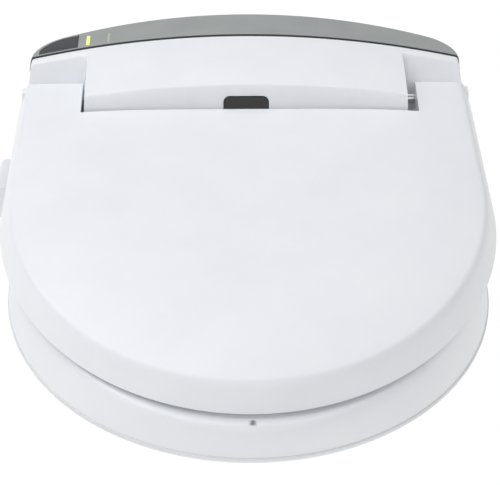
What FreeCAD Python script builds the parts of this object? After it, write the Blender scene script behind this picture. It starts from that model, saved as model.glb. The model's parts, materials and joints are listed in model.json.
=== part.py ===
import FreeCAD, Part
import math
import os
import re
import Sketcher
from types import SimpleNamespace

from FreeCAD import Matrix, Placement, Rotation, Vector

# Electric bidet seat: a soft-close lid and a heated seat on a housing that docks on a bolted bracket.
#
# The frame: X to the viewer's right, -Y to the front of the seat, +Z up.
# The origin is midway between the two fixing bolts, on the toilet bowl's top face (Z = 0).
# All sizes are in millimetres. The driving sizes are the rows of SIZES, which become a sheet's cells.

SIZES = [
    # overall
    ("front_reach", 465, "bolt line to the front of the seat"),
    ("rear_reach", 52, "bolt line to the rear of the housing"),
    ("housing_half", 186, "half the housing's width"),
    ("housing_draft", 0.125, "inward lean of the cover's side walls, per mm of height"),
    ("rear_draft", 0.045, "inward lean of the cover's rear wall, per mm of height"),
    ("rear_bow", 22, "how far the rear wall bows out at its middle"),
    ("rear_corner", 36, "plan radius of the housing's rear corners"),
    ("top_peak", 138.7, "highest point of the housing's top"),
    ("top_peak_y", 30, "where along Y the housing's top is highest"),
    ("top_fall", 0.000885, "curvature of the housing's top along Y"),
    ("top_crown", 0.000469, "curvature of the housing's top along X"),
    ("shell_wall", 2.6, "wall of the moulded covers"),
    # hinge line
    ("hinge_y", -45, "hinge line, along Y"),
    ("hinge_z", 100, "hinge line, height"),
    ("shaft_r", 4, "radius of the hinge shafts"),
    ("run_gap", 0.08, "radial clearance of a turning fit"),
    ("free_gap", 0.4, "clearance round a sliding or swinging piece"),
    # hump and shoulders
    ("hump_half", 129, "half the width of the hump between the lid's arms"),
    ("hump_front", 43.5, "hinge line to the foot of the hump's front"),
    ("hump_lean", 11, "how far the hump's front leans back above its foot"),
    ("hump_foot", 110, "height at which the hump's front starts to lean back"),
    ("shoulder_gap", 16, "hinge line to the wall behind the lid's arms"),
    ("wing_top", 54, "top of the low wings under the lid's arms"),
    # base
    ("pad_high", 2, "height of the rubber pads under the base"),
    ("parting_z", 40, "height of the joint between base and cover"),
    ("base_wall", 3, "wall of the base"),
    ("dock_half", 108, "half the width of the bracket's channel"),
    ("dock_high", 9, "height of the bracket's channel"),
    ("dock_gap", 0.6, "clearance round the bracket"),
    ("bracket_thick", 6, "thickness of the bracket"),
    ("bracket_long", 76, "length of the bracket along Y"),
    ("bolt_span", 140, "distance between the fixing bolts"),
    ("bolt_hole_r", 4.25, "radius of the hole for a fixing bolt"),
    ("guide_wide", 34, "width of a bolt guide"),
    ("guide_long", 30, "length of a bolt guide"),
    ("guide_travel", 8, "travel of a bolt guide to each side"),
    # lid
    ("lid_half", 188.5, "half the lid's width"),
    ("lid_nose", 254, "length of the lid's elliptical front"),
    ("lid_inset", 16, "how far the lid's front stands behind the seat's"),
    ("lid_rear_half", 186, "half the lid's width at its arms"),
    ("lid_lean", 0.30, "inward lean of the lid's edge, per mm of height"),
    ("lid_wall", 2.8, "wall of the lid"),
    ("lid_band", 18, "height of the lid's edge at the front"),
    ("lid_band_rise", 5.9, "how much higher the edge is at the hinge line"),
    ("lid_dome", 16, "height of the lid's dome at the front"),
    ("lid_dome_fall", 7.8, "how much lower the dome is at the hinge line"),
    ("lid_round", 9, "rounding of the lid's upper edge"),
    ("arm_round", 13.5, "radius of the arm's end about the hinge line"),
    ("notch_left", 132, "left side of the lid's notch"),
    ("notch_right", 138, "right side of the lid's notch"),
    ("notch_front", 47, "hinge line to the notch's front edge"),
    ("rim_low", 39.7, "height of the lid's lower edge at the front"),
    ("rim_slope", 0.11, "rise of the lid's lower edge per mm to the rear"),
    # seat
    ("seat_half", 184, "half the seat's width"),
    ("seat_rear_half", 181, "half the seat's width at its rear"),
    ("seat_nose", 262, "length of the seat's elliptical front"),
    ("seat_rear", 48, "hinge line to the seat's rear edge"),
    ("seat_low", 10, "underside of the seat above the bowl"),
    ("seat_parting", 14.5, "height of the joint between the seat's shells"),
    ("seat_wall", 3, "wall of the seat"),
    ("seat_round", 13, "rounding of the seat's outer edge"),
    ("seat_lean", 0.18, "inward lean of the seat's side, per mm of height"),
    ("seat_dish", 8, "depth of the seat's dish"),
    ("lid_gap", 2.5, "gap between the seat and the lid's lower edge"),
    ("hole_half", 104, "half the width of the seat's opening"),
    ("hole_front", 66, "width of the ring at the front"),
    ("hole_rear", 30, "width of the ring at the rear"),
    ("corridor_half", 80, "half the width of the passage under the ring's rear"),
    ("corridor_high", 51, "height of the passage under the ring's rear"),
    ("lug_in", 150, "inner face of the seat's hinge lugs"),
    ("lug_thick", 18, "thickness of the seat's hinge lugs"),
    ("lug_r", 7, "radius of the lugs' ends"),
    # trim strip
    ("strip_front", 0, "front edge of the strip at its middle"),
    ("strip_bow", 13, "how far the strip's front edge bows forward at its ends"),
    ("strip_thick", 2.4, "thickness of the strip"),
    ("strip_proud", 0.8, "how far the strip stands above the cover"),
    ("strip_low_rear", 118, "lower edge of the strip at the rear"),
    ("strip_low_end", 113, "lower edge of the strip at its ends"),
    # nozzles
    ("nozzle_r", 5, "radius of a nozzle tube"),
    ("nozzle_pitch", 22, "distance between the nozzles"),
    ("nozzle_long", 138, "length of a nozzle with its tip"),
    ("nozzle_tip_long", 16, "length of a nozzle's tip"),
    ("nozzle_slope", 32, "slope of the nozzles, in degrees"),
    ("nozzle_y", -84, "tip of a retracted nozzle, along Y"),
    ("nozzle_z", 26, "tip of a retracted nozzle, height"),
    ("gear_module", 1, "module of rack and pinion"),
    ("pinion_teeth", 12, "teeth of a pinion"),
    ("pinion_wide", 5, "width of a pinion"),
    ("pinion_at", 26, "nozzle tip to the pinion, along the nozzle"),
    ("rack_line", 8, "nozzle axis to the rack's pitch line"),
    ("motor_r", 10, "radius of a nozzle motor"),
    ("motor_long", 17, "length of a nozzle motor"),
    # dryer
    ("dryer_x", 66, "fan axis of the dryer, along X"),
    ("dryer_y", 0, "fan axis of the dryer, along Y"),
    ("dryer_r", 31, "radius of the dryer's scroll"),
    ("dryer_high", 28, "height of the dryer's scroll"),
    ("duct_x", 36, "left side of the dryer's duct"),
    ("duct_wide", 27, "width of the dryer's duct"),
    ("duct_high", 20, "height of the dryer's duct"),
    ("duct_wall", 1.8, "wall of the dryer's duct"),
    ("fan_r", 22, "radius of the dryer's fan"),
    # filter
    ("filter_wide", 30, "width of the deodoriser filter"),
    ("filter_high", 25, "height of the deodoriser filter"),
    ("filter_long", 54, "length of the deodoriser filter"),
    # side pod
    ("pod_wide", 17, "how far the side pod stands out from the housing"),
    ("pod_front", -99, "front end of the side pod"),
    ("pod_long", 58, "length of the side pod"),
    ("pod_low", 20, "underside of the pod's shell"),
    ("pod_high", 26, "height of the pod's shell"),
    ("pod_round", 7, "rounding of the pod's outer edges"),
    ("button_r", 7, "radius of a pod button"),
    ("button_proud", 1.6, "how far a pod button stands out"),
    # water
    ("inlet_x", -150, "water inlet, along X"),
    ("inlet_y", -2, "water inlet, along Y"),
    ("inlet_r", 10.3, "outer radius of the water inlet's nipple"),
    ("inlet_bore_r", 7, "bore radius of the water inlet's nipple"),
    ("inlet_recess", 24, "height of the recess over the water inlet"),
    ("hose_r", 4, "outer radius of the inner hoses"),
    ("hose_bore_r", 2.5, "bore radius of the inner hoses"),
    # power cord
    ("cord_x", 60, "power cord's gland, along X"),
    ("cord_z", 24, "power cord's gland, height"),
    ("cord_bore_r", 4, "radius of the gland's bore"),
]

doc = FreeCAD.newDocument("bidet_seat")
sheet = doc.addObject("Spreadsheet::Sheet", "dims")
for row, (alias, value, note) in enumerate(SIZES, start=1):
    sheet.set(f"A{row}", alias)
    sheet.set(f"B{row}", str(value))
    sheet.setAlias(f"B{row}", alias)
    sheet.set(f"C{row}", note)
doc.recompute()
s = SimpleNamespace(**{alias: float(sheet.get(alias)) for alias, _, _ in SIZES})
ALIASES = {alias for alias, _, _ in SIZES}
NODES = []  # the objects that become files, in order


# ---------------------------------------------------------------- helpers

def bind(obj, prop, text):
    """Binds a property to an expression of the sheet's aliases."""
    named = re.sub(
        r"[a-z]\w*", lambda m: "dims." + m[0] if m[0] in ALIASES else m[0], str(text)
    )
    obj.setExpression(prop, named)


def place(obj, at):
    for axis, text in zip("xyz", at):
        bind(obj, f".Placement.Base.{axis}", text)
    return obj


def box(name, low, size):
    """A box from its lowest corner and its size, both given as expressions."""
    b = doc.addObject("Part::Box", name)
    for prop, text in zip(("Length", "Width", "Height"), size):
        bind(b, prop, text)
    return place(b, low)


def rod(name, radius, length, start, along="Z"):
    """A cylinder from the centre of its lower end, along +X, +Y or +Z."""
    c = doc.addObject("Part::Cylinder", name)
    bind(c, "Radius", radius)
    bind(c, "Height", length)
    turn = {
        "X": Rotation(Vector(0, 1, 0), 90),
        "Y": Rotation(Vector(1, 0, 0), -90),
        "Z": Rotation(),
    }[along]
    c.Placement = Placement(Vector(), turn)
    return place(c, start)


def cut(name, base, *tools):
    tool = tools[0] if len(tools) == 1 else fuse(name + "_tools", *tools)
    c = doc.addObject("Part::Cut", name)
    c.Base = base
    c.Tool = tool
    return c


def fuse(name, *shapes):
    f = doc.addObject("Part::MultiFuse", name)
    f.Shapes = list(shapes)
    return f


def fillet(name, base, radius, pick):
    """Rounds the edges of base that pick(edge) chooses."""
    doc.recompute()
    f = doc.addObject("Part::Fillet", name)
    f.Base = base
    chosen = [n for n, e in enumerate(base.Shape.Edges, start=1) if pick(e)]
    f.Edges = [(n, radius, radius) for n in chosen]
    return f


def solid(name, shape):
    """A document object for a shape that Part's own functions made."""
    f = doc.addObject("Part::Feature", name)
    f.Shape = shape
    return f


def node(obj, label):
    obj.Label = label
    NODES.append(obj)
    return obj


def runs_along(axis):
    """Picks straight edges that run along an axis."""
    def pick(edge):
        a, b = (v.Point for v in (edge.Vertexes[0], edge.Vertexes[-1]))
        d = b - a
        return d.Length > 1e-6 and abs(abs(getattr(d, axis)) / d.Length - 1) < 1e-6
    return pick


def body(name):
    return doc.addObject("PartDesign::Body", name)


def plane(of_body, role):
    return next(f for f in of_body.Origin.OriginFeatures if f.Role == role)


def sketch(of_body, name, role):
    k = of_body.newObject("Sketcher::SketchObject", name)
    k.AttachmentSupport = [(plane(of_body, role), "")]
    k.MapMode = "FlatFace"
    return k


def set_size(k, index, text):
    bind(k, f"Constraints[{index}]", text)


def draw_circle(k, radius, x=None, y=None):
    """A circle, centred on the sketch's origin or at an offset given as expressions."""
    g = k.addGeometry(Part.Circle(Vector(1, 1, 0), Vector(0, 0, 1), 1), False)
    set_size(k, k.addConstraint(Sketcher.Constraint("Radius", g, 1)), radius)
    if x is None:
        k.addConstraint(Sketcher.Constraint("PointOnObject", g, 3, -2))
    else:
        set_size(k, k.addConstraint(Sketcher.Constraint("DistanceX", -1, 1, g, 3, 1)), x)
    if y is None:
        k.addConstraint(Sketcher.Constraint("PointOnObject", g, 3, -1))
    else:
        set_size(k, k.addConstraint(Sketcher.Constraint("DistanceY", -1, 1, g, 3, 1)), y)


def draw_rect(k, wide, high, x=None):
    """A rectangle centred on the sketch's origin, or moved along X by an expression."""
    c = [Vector(-1, -1, 0), Vector(1, -1, 0), Vector(1, 1, 0), Vector(-1, 1, 0)]
    lines = [Part.LineSegment(c[n], c[(n + 1) % 4]) for n in range(4)]
    g = k.addGeometry(lines, False)
    for n in range(4):
        k.addConstraint(Sketcher.Constraint("Coincident", g[n], 2, g[(n + 1) % 4], 1))
    for n in range(4):
        word = "Horizontal" if n % 2 == 0 else "Vertical"
        k.addConstraint(Sketcher.Constraint(word, g[n]))
    set_size(k, k.addConstraint(Sketcher.Constraint("DistanceX", g[0], 1, g[0], 2, 2)), wide)
    set_size(k, k.addConstraint(Sketcher.Constraint("DistanceY", g[1], 1, g[1], 2, 2)), high)
    if x is None:
        k.addConstraint(Sketcher.Constraint("Symmetric", g[0], 1, g[1], 2, -1, 1))
        return
    middle = k.addGeometry(Part.Point(Vector(0, 0, 0)), True)
    k.addConstraint(Sketcher.Constraint("Symmetric", g[0], 1, g[1], 2, middle, 1))
    k.addConstraint(Sketcher.Constraint("PointOnObject", middle, 1, -1))
    set_size(k, k.addConstraint(Sketcher.Constraint("DistanceX", -1, 1, middle, 1, 1)), x)


def pad(of_body, k, length, name, mirrored=False):
    p = of_body.newObject("PartDesign::Pad", name)
    p.Profile = k
    bind(p, "Length", length)
    p.Midplane = mirrored
    return p


def pocket(of_body, k, name):
    p = of_body.newObject("PartDesign::Pocket", name)
    p.Profile = k
    p.Type = 1  # through all
    p.Midplane = True
    return p


# ---------------------------------------------------------------- shared surfaces and outlines

lid_front = -(s.front_reach - s.lid_inset)
lid_mid = lid_front + s.lid_nose
seat_mid = -s.front_reach + s.seat_nose
seat_rear_y = s.hinge_y - s.seat_rear
shoulder_y = s.hinge_y + s.shoulder_gap
hump_y = s.hinge_y - s.hump_front
BIG = 400


def rim(y):
    """Height of the lid's lower edge."""
    return s.rim_low + s.rim_slope * (y - lid_front)


def lid_top(x, y):
    """Height of the lid's upper face."""
    along = (y - lid_front) / (s.hinge_y - lid_front)
    reach = min(0.0, y - lid_mid) / s.lid_nose
    edge = (x / s.lid_half) ** 2 + reach**2
    dome = s.lid_dome - s.lid_dome_fall * along
    return rim(y) + s.lid_band + s.lid_band_rise * along + dome * (1 - edge**2)


def cover_top(x, y):
    """Height of the housing's top."""
    return s.top_peak - s.top_fall * (y - s.top_peak_y) ** 2 - s.top_crown * x**2


def seat_top_at(x, y):
    """Height of the seat's upper face: a shallow dish under the lid's lower edge."""
    edge = (x / s.seat_half) ** 2 + ((y - seat_mid) / s.seat_nose) ** 2
    return rim(y) - s.lid_gap - s.seat_dish * (1 - edge)


def under(height, x_half, y_low, y_high, drop=0.0, deep=BIG, grid=19):
    """The solid below a height function, over a rectangle."""
    points = []
    for i in range(grid):
        x = -x_half + 2 * x_half * i / (grid - 1)
        row = []
        for j in range(grid):
            y = y_low + (y_high - y_low) * j / (grid - 1)
            row.append(Vector(x, y, height(x, y) - drop))
        points.append(row)
    surface = Part.BSplineSurface()
    surface.interpolate(points)
    return surface.toShape().extrude(Vector(0, 0, -deep))


def prism(points, low, high, plane_of="XY"):
    """A straight prism over a polygon. In YZ, low and high are along X."""
    if plane_of == "XY":
        corners = [Vector(x, y, low) for x, y in points]
        way = Vector(0, 0, high - low)
    else:
        corners = [Vector(low, y, z) for y, z in points]
        way = Vector(high - low, 0, 0)
    return Part.Face(Part.makePolygon(corners + corners[:1])).extrude(way)


def block(x0, y0, z0, x1, y1, z1):
    return Part.makeBox(x1 - x0, y1 - y0, z1 - z0, Vector(x0, y0, z0))


def cylinder(radius, start, end):
    way = Vector(*end) - Vector(*start)
    return Part.makeCylinder(radius, way.Length, Vector(*start), way)


def nose_wire(half, nose, mid, rear_half, rear, z):
    """A D-shaped outline: an elliptical front, straight sides and a straight rear."""
    major, minor = (nose, half) if nose >= half else (half, nose)
    far = Vector(0, mid - major, z) if nose >= half else Vector(major, mid, z)
    side = Vector(minor, mid, z) if nose >= half else Vector(0, mid - minor, z)
    ellipse = Part.Ellipse(far, side, Vector(0, mid, z))
    left, right = Vector(-half, mid, z), Vector(half, mid, z)
    front = Vector(0, mid - nose, z)
    t_left, t_front, t_right = (ellipse.parameter(p) for p in (left, front, right))
    arcs = []
    for a, b, start, end in ((t_left, t_front, left, front), (t_front, t_right, front, right)):
        arcs.append(half_arc(ellipse, a, b, start, end))
    rear_right, rear_left = Vector(rear_half, rear, z), Vector(-rear_half, rear, z)
    lines = [
        Part.makeLine(right, rear_right),
        Part.makeLine(rear_right, rear_left),
        Part.makeLine(rear_left, left),
    ]
    return Part.Wire(Part.__sortEdges__(arcs + lines))


def half_arc(ellipse, a, b, start, end):
    """The arc of an ellipse between two of its parameters that is a quarter turn long."""
    for low, high in ((a, b), (b, a)):
        if high < low:
            high += 2 * math.pi
        if high - low < math.pi * 0.75:
            edge = Part.ArcOfEllipse(ellipse, low, high).toShape()
            return edge
    raise ValueError("no quarter of the ellipse lies between these parameters")


def rear_bend(half, rear, bow, corner):
    """The rear's radius, and the centres along Y of the rear and of its round corners."""
    span = half - corner
    radius = (span**2 + bow**2) / (2 * bow)
    centre_y = rear - radius
    return radius, centre_y, centre_y + math.sqrt((radius - corner) ** 2 - span**2)


def rear_wire(half, rear, bow, corner, front, z):
    """The housing's outline: a bowed rear, round corners, straight sides and front."""
    radius, centre_y, corner_y = rear_bend(half, rear, bow, corner)
    toward = Vector(half - corner, corner_y - centre_y, 0).normalize()
    touch = Vector(0, centre_y, z) + toward * radius
    bend = toward + Vector(1, 0, 0)
    middle = Vector(half - corner, corner_y, z) + bend.normalize() * corner
    side = Vector(half, corner_y, z)

    def left(p):
        return Vector(-p.x, p.y, p.z)

    f_right, f_left = Vector(half, front, z), Vector(-half, front, z)
    return Part.Wire([
        Part.makeLine(f_left, f_right),
        Part.makeLine(f_right, side),
        Part.Arc(side, middle, touch).toShape(),
        Part.Arc(touch, Vector(0, rear, z), left(touch)).toShape(),
        Part.Arc(left(touch), left(middle), left(side)).toShape(),
        Part.makeLine(left(side), f_left),
    ])


def loft(*wires):
    return Part.makeLoft(list(wires), True, True)


def sheared(shape):
    """Tilts a shape that was made on a level rim so that it follows the lid's lower edge."""
    m = Matrix()
    m.A32 = s.rim_slope
    m.A34 = s.rim_low - s.rim_slope * lid_front
    return shape.transformGeometry(m)


def housing_walls(inset, low, high, front):
    """The housing's outline as a solid whose walls lean inwards."""
    def wire(z):
        rise = max(z - s.parting_z, 0)
        return rear_wire(
            s.housing_half - s.housing_draft * rise - inset,
            s.rear_reach - s.rear_draft * rise - inset, s.rear_bow,
            s.rear_corner - inset, front, z,
        )
    return loft(wire(low), wire(high))


def one_solid(shape):
    """The single solid of a boolean's result, with its split faces joined."""
    clean = shape.removeSplitter()
    return clean.Solids[0] if len(clean.Solids) == 1 else clean


# ---------------------------------------------------------------- lid

def lid_body(inset, notch_grow):
    """The lid's outer form, or its inner form when inset is the wall."""
    tall = 90
    wires = [
        nose_wire(
            s.lid_half - inset - s.lid_lean * h, s.lid_nose - inset - s.lid_lean * h, lid_mid,
            s.lid_rear_half - inset - s.lid_lean * h * 0.6,
            s.hinge_y + s.arm_round - inset, h,
        )
        for h in (-60 if inset else 0, tall)
    ]
    form = sheared(loft(*wires))
    form = form.common(under(lid_top, 220, lid_front - 30, 40, inset))
    notch = block(
        -s.notch_left - notch_grow, s.hinge_y - s.notch_front - notch_grow, 0,
        s.notch_right + notch_grow, 60, 200,
    )
    return form.cut(notch)


def round_arm_end(form, radius):
    """Rounds the rear of the arms about the hinge line, from the top to the rear."""
    y, z = s.hinge_y, s.hinge_z
    corner = block(-220, y, z, 220, y + 60, z + 60)
    keep = cylinder(radius, (-220, y, z), (220, y, z))
    return form.cut(corner.cut(keep))


def make_lid():
    outer = round_arm_end(lid_body(0, 0), s.arm_round)
    outer = outer.removeSplitter()
    upper = [e for e in outer.Edges if on_lid_edge(e)]
    try_round = outer.makeFillet(s.lid_round, upper)
    inner = lid_body(s.lid_wall, s.lid_wall)
    edges = [e for e in inner.Edges if on_lid_edge(e, s.lid_wall)]
    inner = inner.makeFillet(s.lid_round - s.lid_wall, edges)
    inner = round_arm_end(inner, s.arm_round - s.lid_wall)
    shell = try_round.cut(inner)
    for side in (-1, 1):
        start = (s.notch_left if side < 0 else s.notch_right) + 0.5
        boss = cylinder(
            s.arm_round - 4, (side * start, s.hinge_y, s.hinge_z),
            (side * (s.lug_in - 1.5), s.hinge_y, s.hinge_z),
        )
        shell = shell.fuse(boss)
    bore = s.shaft_r + s.run_gap
    for side in (-1, 1):
        shell = shell.cut(cylinder(
            bore, (side * 100, s.hinge_y, s.hinge_z), (side * s.lug_in, s.hinge_y, s.hinge_z)
        ))
    # the underside of the arms is open behind the seat's lugs
    y, z = s.hinge_y, s.hinge_z
    for side in (-1, 1):
        x0, x1 = sorted((side * (s.lug_in - 1.2), side * (s.lid_rear_half - s.lid_wall - 1)))
        shell = shell.cut(block(x0, y + 1, z - 40, x1, y + 40, z + s.arm_round * 0.42))
    return one_solid(shell)


def on_lid_edge(edge, drop=0.0):
    """True for the edge between the lid's upper face and its outer side."""
    for t in (0.25, 0.5, 0.75):
        p = edge.valueAt(edge.FirstParameter + t * (edge.LastParameter - edge.FirstParameter))
        if abs(p.z + drop - lid_top(p.x, p.y)) > 0.35 or p.y > s.hinge_y - 2:
            return False
        inside_notch = -s.notch_left - 1 - drop < p.x < s.notch_right + 1 + drop
        if inside_notch and p.y > s.hinge_y - s.notch_front - 1 - drop:
            return False
    return edge.Length > 20


node(solid("LidShell", make_lid()), "lid_shell")

# ---------------------------------------------------------------- seat

def seat_form(inset, low, high):
    """The seat's outer form, or its inner form when inset is the wall."""
    wires = []
    for z in (low, high):
        lean = inset + s.seat_lean * (z - s.seat_low)
        wires.append(nose_wire(
            s.seat_half - lean, s.seat_nose - lean, seat_mid,
            s.seat_rear_half - lean, seat_rear_y - inset, z,
        ))
    form = loft(*wires).common(under(seat_top_at, 220, -500, -60, inset))
    if inset == 0:
        outer = [e for e in form.Edges if on_seat_edge(e)]
        form = form.makeFillet(s.seat_round, outer)
    hole_front = -s.front_reach + s.hole_front
    hole_rear = seat_rear_y - s.hole_rear
    middle = (hole_front + hole_rear) / 2
    reach = (hole_rear - hole_front) / 2
    ring = Part.Ellipse(
        Vector(0, middle - reach - inset, 0), Vector(s.hole_half + inset, middle, 0),
        Vector(0, middle, 0),
    )
    form = form.cut(Part.Face(Part.Wire(ring.toShape())).extrude(Vector(0, 0, 120)))
    half, high = s.corridor_half + inset, s.corridor_high + inset
    return form.cut(block(-half, hole_rear - 60, -1, half, 0, high))


def on_seat_edge(edge):
    """True for the edge between the seat's upper face and its outer wall."""
    for t in (0.25, 0.5, 0.75):
        p = edge.valueAt(edge.FirstParameter + t * (edge.LastParameter - edge.FirstParameter))
        if abs(p.z - seat_top_at(p.x, p.y)) > 0.2 or p.y > seat_rear_y - 1:
            return False
    return edge.Length > 20


def seat_lug(side, bore_r):
    """A lug that reaches from the seat's rear into the lid's hollow arm."""
    y, z, r = s.hinge_y, s.hinge_z, s.lug_r
    x0, x1 = sorted((side * s.lug_in, side * (s.lug_in + s.lug_thick)))
    root_low, root_top = Vector(0, seat_rear_y - 2.9, 62), Vector(0, seat_rear_y - 2.9, 73)
    up, down = Vector(0, y - r * 0.6, z + r * 0.8), Vector(0, y + r * 0.6, z - r * 0.8)
    points = [(p.y, p.z) for p in (root_low, root_top, up, down)]
    arm = prism(points, x0, x1, "YZ").fuse(cylinder(r, (x0, y, z), (x1, y, z)))
    return arm.cut(cylinder(bore_r, (x0 - 1, y, z), (x1 + 1, y, z)))


def make_seat_top():
    outer = seat_form(0, s.seat_low, 100)
    inner = seat_form(s.seat_wall, s.seat_low - 5, 100)
    shell = outer.cut(inner).cut(block(-BIG, -BIG * 2, -5, BIG, BIG, s.seat_parting))
    shell = shell.fuse([seat_lug(-1, s.shaft_r + s.run_gap), seat_lug(1, s.shaft_r)])
    return one_solid(shell)


def make_seat_bottom():
    outer = seat_form(0, s.seat_low, 100)
    inner = seat_form(s.seat_wall, s.seat_low - 5, 100)
    slab = outer.common(block(-BIG, -BIG * 2, -5, BIG, BIG, s.seat_parting))
    slab = slab.cut(inner.cut(block(-BIG, -BIG * 2, -5, BIG, BIG, s.seat_low + s.seat_wall)))
    # the passage's walls belong to the upper shell
    return one_solid(slab)


def make_seat_heater():
    low, high = s.seat_wall + 0.7, s.seat_wall + 0.1
    sheet_top = under(seat_top_at, 220, -500, -60, high)
    sheet_low = under(seat_top_at, 220, -500, -60, low)
    wires = []
    for z in (s.seat_low, 100):
        lean = 14 + s.seat_lean * (z - s.seat_low)
        wires.append(nose_wire(
            s.seat_half - lean, s.seat_nose - lean, seat_mid,
            s.seat_rear_half - lean, seat_rear_y - 10, z,
        ))
    foil = loft(*wires).common(sheet_top.cut(sheet_low))
    hole_front = -s.front_reach + s.hole_front
    hole_rear = seat_rear_y - s.hole_rear
    middle, reach = (hole_front + hole_rear) / 2, (hole_rear - hole_front) / 2
    edge = Part.Ellipse(
        Vector(0, middle - reach - 10, 0), Vector(s.hole_half + 10, middle, 0), Vector(0, middle, 0)
    )
    foil = foil.cut(Part.Face(Part.Wire(edge.toShape())).extrude(Vector(0, 0, 120)))
    return one_solid(foil)


node(solid("SeatTop", make_seat_top()), "seat_top")
node(solid("SeatBottom", make_seat_bottom()), "seat_bottom")
node(solid("SeatHeater", make_seat_heater()), "seat_heater")


# ---------------------------------------------------------------- housing

def lean_cut(y0, z0, y1, z1, low_x, high_x):
    """Everything in front of the line from (y0, z0) up to (y1, z1), and above z0."""
    return prism([(y0 - 200, z0), (y0, z0), (y1, z1), (y1 - 200, z1)], low_x, high_x, "YZ")


def cover_form(inset, low):
    """The cover's outer form, or its inner form when inset is the wall."""
    form = housing_walls(inset, low, 160, hump_y + inset)
    form = form.common(under(cover_top, 220, -120, 80, inset))
    foot, top = s.hump_foot - inset, 170
    lean = s.hump_lean / (s.top_peak - s.hump_foot)
    y0 = hump_y + inset
    form = form.cut(lean_cut(y0, foot, y0 + lean * (top - foot), top, -BIG, BIG))
    # the low wings under the lid's arms, and the wall that leans back behind the arms
    for side in (-1, 1):
        x0, x1 = sorted((side * (s.hump_half - inset), side * BIG))
        wall = shoulder_y + inset
        z0, z1 = s.hinge_z + 6 - inset, 170
        form = form.cut(block(x0, -300, s.wing_top - inset, x1, wall, z0 + 0.001))
        form = form.cut(lean_cut(wall, z0, wall + 0.5 * (z1 - z0), z1, x0, x1))
    return form


def strip_front_at(x):
    return s.strip_front - s.strip_bow * (x / s.housing_half) ** 2


def strip_region(grow):
    """The region of the trim strip, behind its bowed front edge and above its lower edge."""
    points = []
    steps = 24
    for n in range(steps + 1):
        x = -200 + 400 * n / steps
        points.append(Vector(x, strip_front_at(x) - grow, 90))
    curve = Part.BSplineCurve()
    curve.interpolate(points)
    ends = (points[-1], Vector(200, 120, 90), Vector(-200, 120, 90), points[0])
    lines = [Part.makeLine(a, b) for a, b in zip(ends, ends[1:])]
    face = Part.Face(Part.Wire([curve.toShape()] + lines))
    region = face.extrude(Vector(0, 0, 80))
    low = []
    for n in range(steps + 1):
        x = -200 + 400 * n / steps
        rise = s.strip_low_end - s.strip_low_rear
        low.append(Vector(x, -50, s.strip_low_rear + rise * (x / s.housing_half) ** 2 - grow))
    floor = Part.BSplineCurve()
    floor.interpolate(low)
    drop = [low[-1], Vector(200, -50, 0), Vector(-200, -50, 0), low[0]]
    lines = [Part.makeLine(a, b) for a, b in zip(drop, drop[1:])]
    below = Part.Face(Part.Wire([floor.toShape()] + lines)).extrude(Vector(0, 200, 0))
    return region.cut(below)


def cover_openings():
    """Everything that is cut through the cover's walls."""
    y, z = s.hinge_y, s.hinge_z
    holes = [cylinder(BUSH_R, (-s.hump_half - 5, y, z), (-s.hump_half + 6, y, z))]
    holes.append(cylinder(BUSH_R, (s.hump_half - 6, y, z), (s.hump_half + 5, y, z)))
    holes.append(window_form(s.free_gap / 2, -10, 10))
    holes.append(guard_opening())
    f = s.free_gap
    holes.append(block(
        s.housing_half - 16, FILTER_Y - f, FILTER_Z - f,
        s.housing_half + 5, FILTER_Y + s.filter_wide + f, FILTER_Z + s.filter_high + f,
    ))
    return holes[0].fuse(holes[1:])


def window_form(grow, out, inn):
    """The sensor window: a slot with round upper corners on the hump's leaning front."""
    lean = s.hump_lean / (s.top_peak - s.hump_foot)
    tilt = math.degrees(math.atan(lean))
    half, high, r = 18 + grow, 10 + grow, 5
    points = [(-half, -grow), (half, -grow), (half, high - r), (half - r, high)]
    points += [(r - half, high), (-half, high - r)]
    corners = [Vector(x, 0, z) for x, z in points]
    mid_right = Vector(half - r + r * 0.7071, 0, high - r + r * 0.7071)
    edges = [
        Part.makeLine(corners[0], corners[1]),
        Part.makeLine(corners[1], corners[2]),
        Part.Arc(corners[2], mid_right, corners[3]).toShape(),
        Part.makeLine(corners[3], corners[4]),
        Part.Arc(corners[4], Vector(-mid_right.x, 0, mid_right.z), corners[5]).toShape(),
        Part.makeLine(corners[5], corners[0]),
    ]
    slot = Part.Face(Part.Wire(edges)).extrude(Vector(0, inn - out, 0))
    slot.translate(Vector(0, out, 0))
    slot.rotate(Vector(), Vector(1, 0, 0), -tilt)
    slot.translate(Vector(0, hump_y, s.hump_foot))
    return slot


def guard_opening():
    f = s.free_gap
    return block(-GUARD_HALF - f, hump_y - 5, NOZZLE_DOOR_LOW,
                 GUARD_HALF + f, hump_y + 8, GUARD_TOP + f)


def screw_bosses(low, high, radius):
    return [cylinder(radius, (x, y, low), (x, y, high)) for x, y in SCREWS]


def make_cover():
    outer = cover_form(0, s.parting_z)
    inner = cover_form(s.shell_wall, s.parting_z - 5)
    shell = outer.cut(inner)
    seat_of_strip = outer.cut(cover_form(s.strip_thick - s.strip_proud, s.parting_z - 1))
    shell = shell.cut(seat_of_strip.common(strip_region(0.6)))
    top = s.wing_top - 1
    bosses = screw_bosses(s.parting_z, top, 5)
    shell = shell.fuse([b.common(outer) for b in bosses])
    holes = screw_bosses(s.parting_z - 1, top - 2, SCREW_R)
    return one_solid(shell.cut(cover_openings().fuse(holes)))


def make_strip():
    proud = cover_form(-s.strip_proud, s.parting_z)
    core = cover_form(s.strip_thick - s.strip_proud, s.parting_z - 1)
    band = proud.cut(core).common(strip_region(0))
    return one_solid(band.cut(strip_inset().fuse([led_form(x, w) for x, w in LEDS])))


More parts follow.
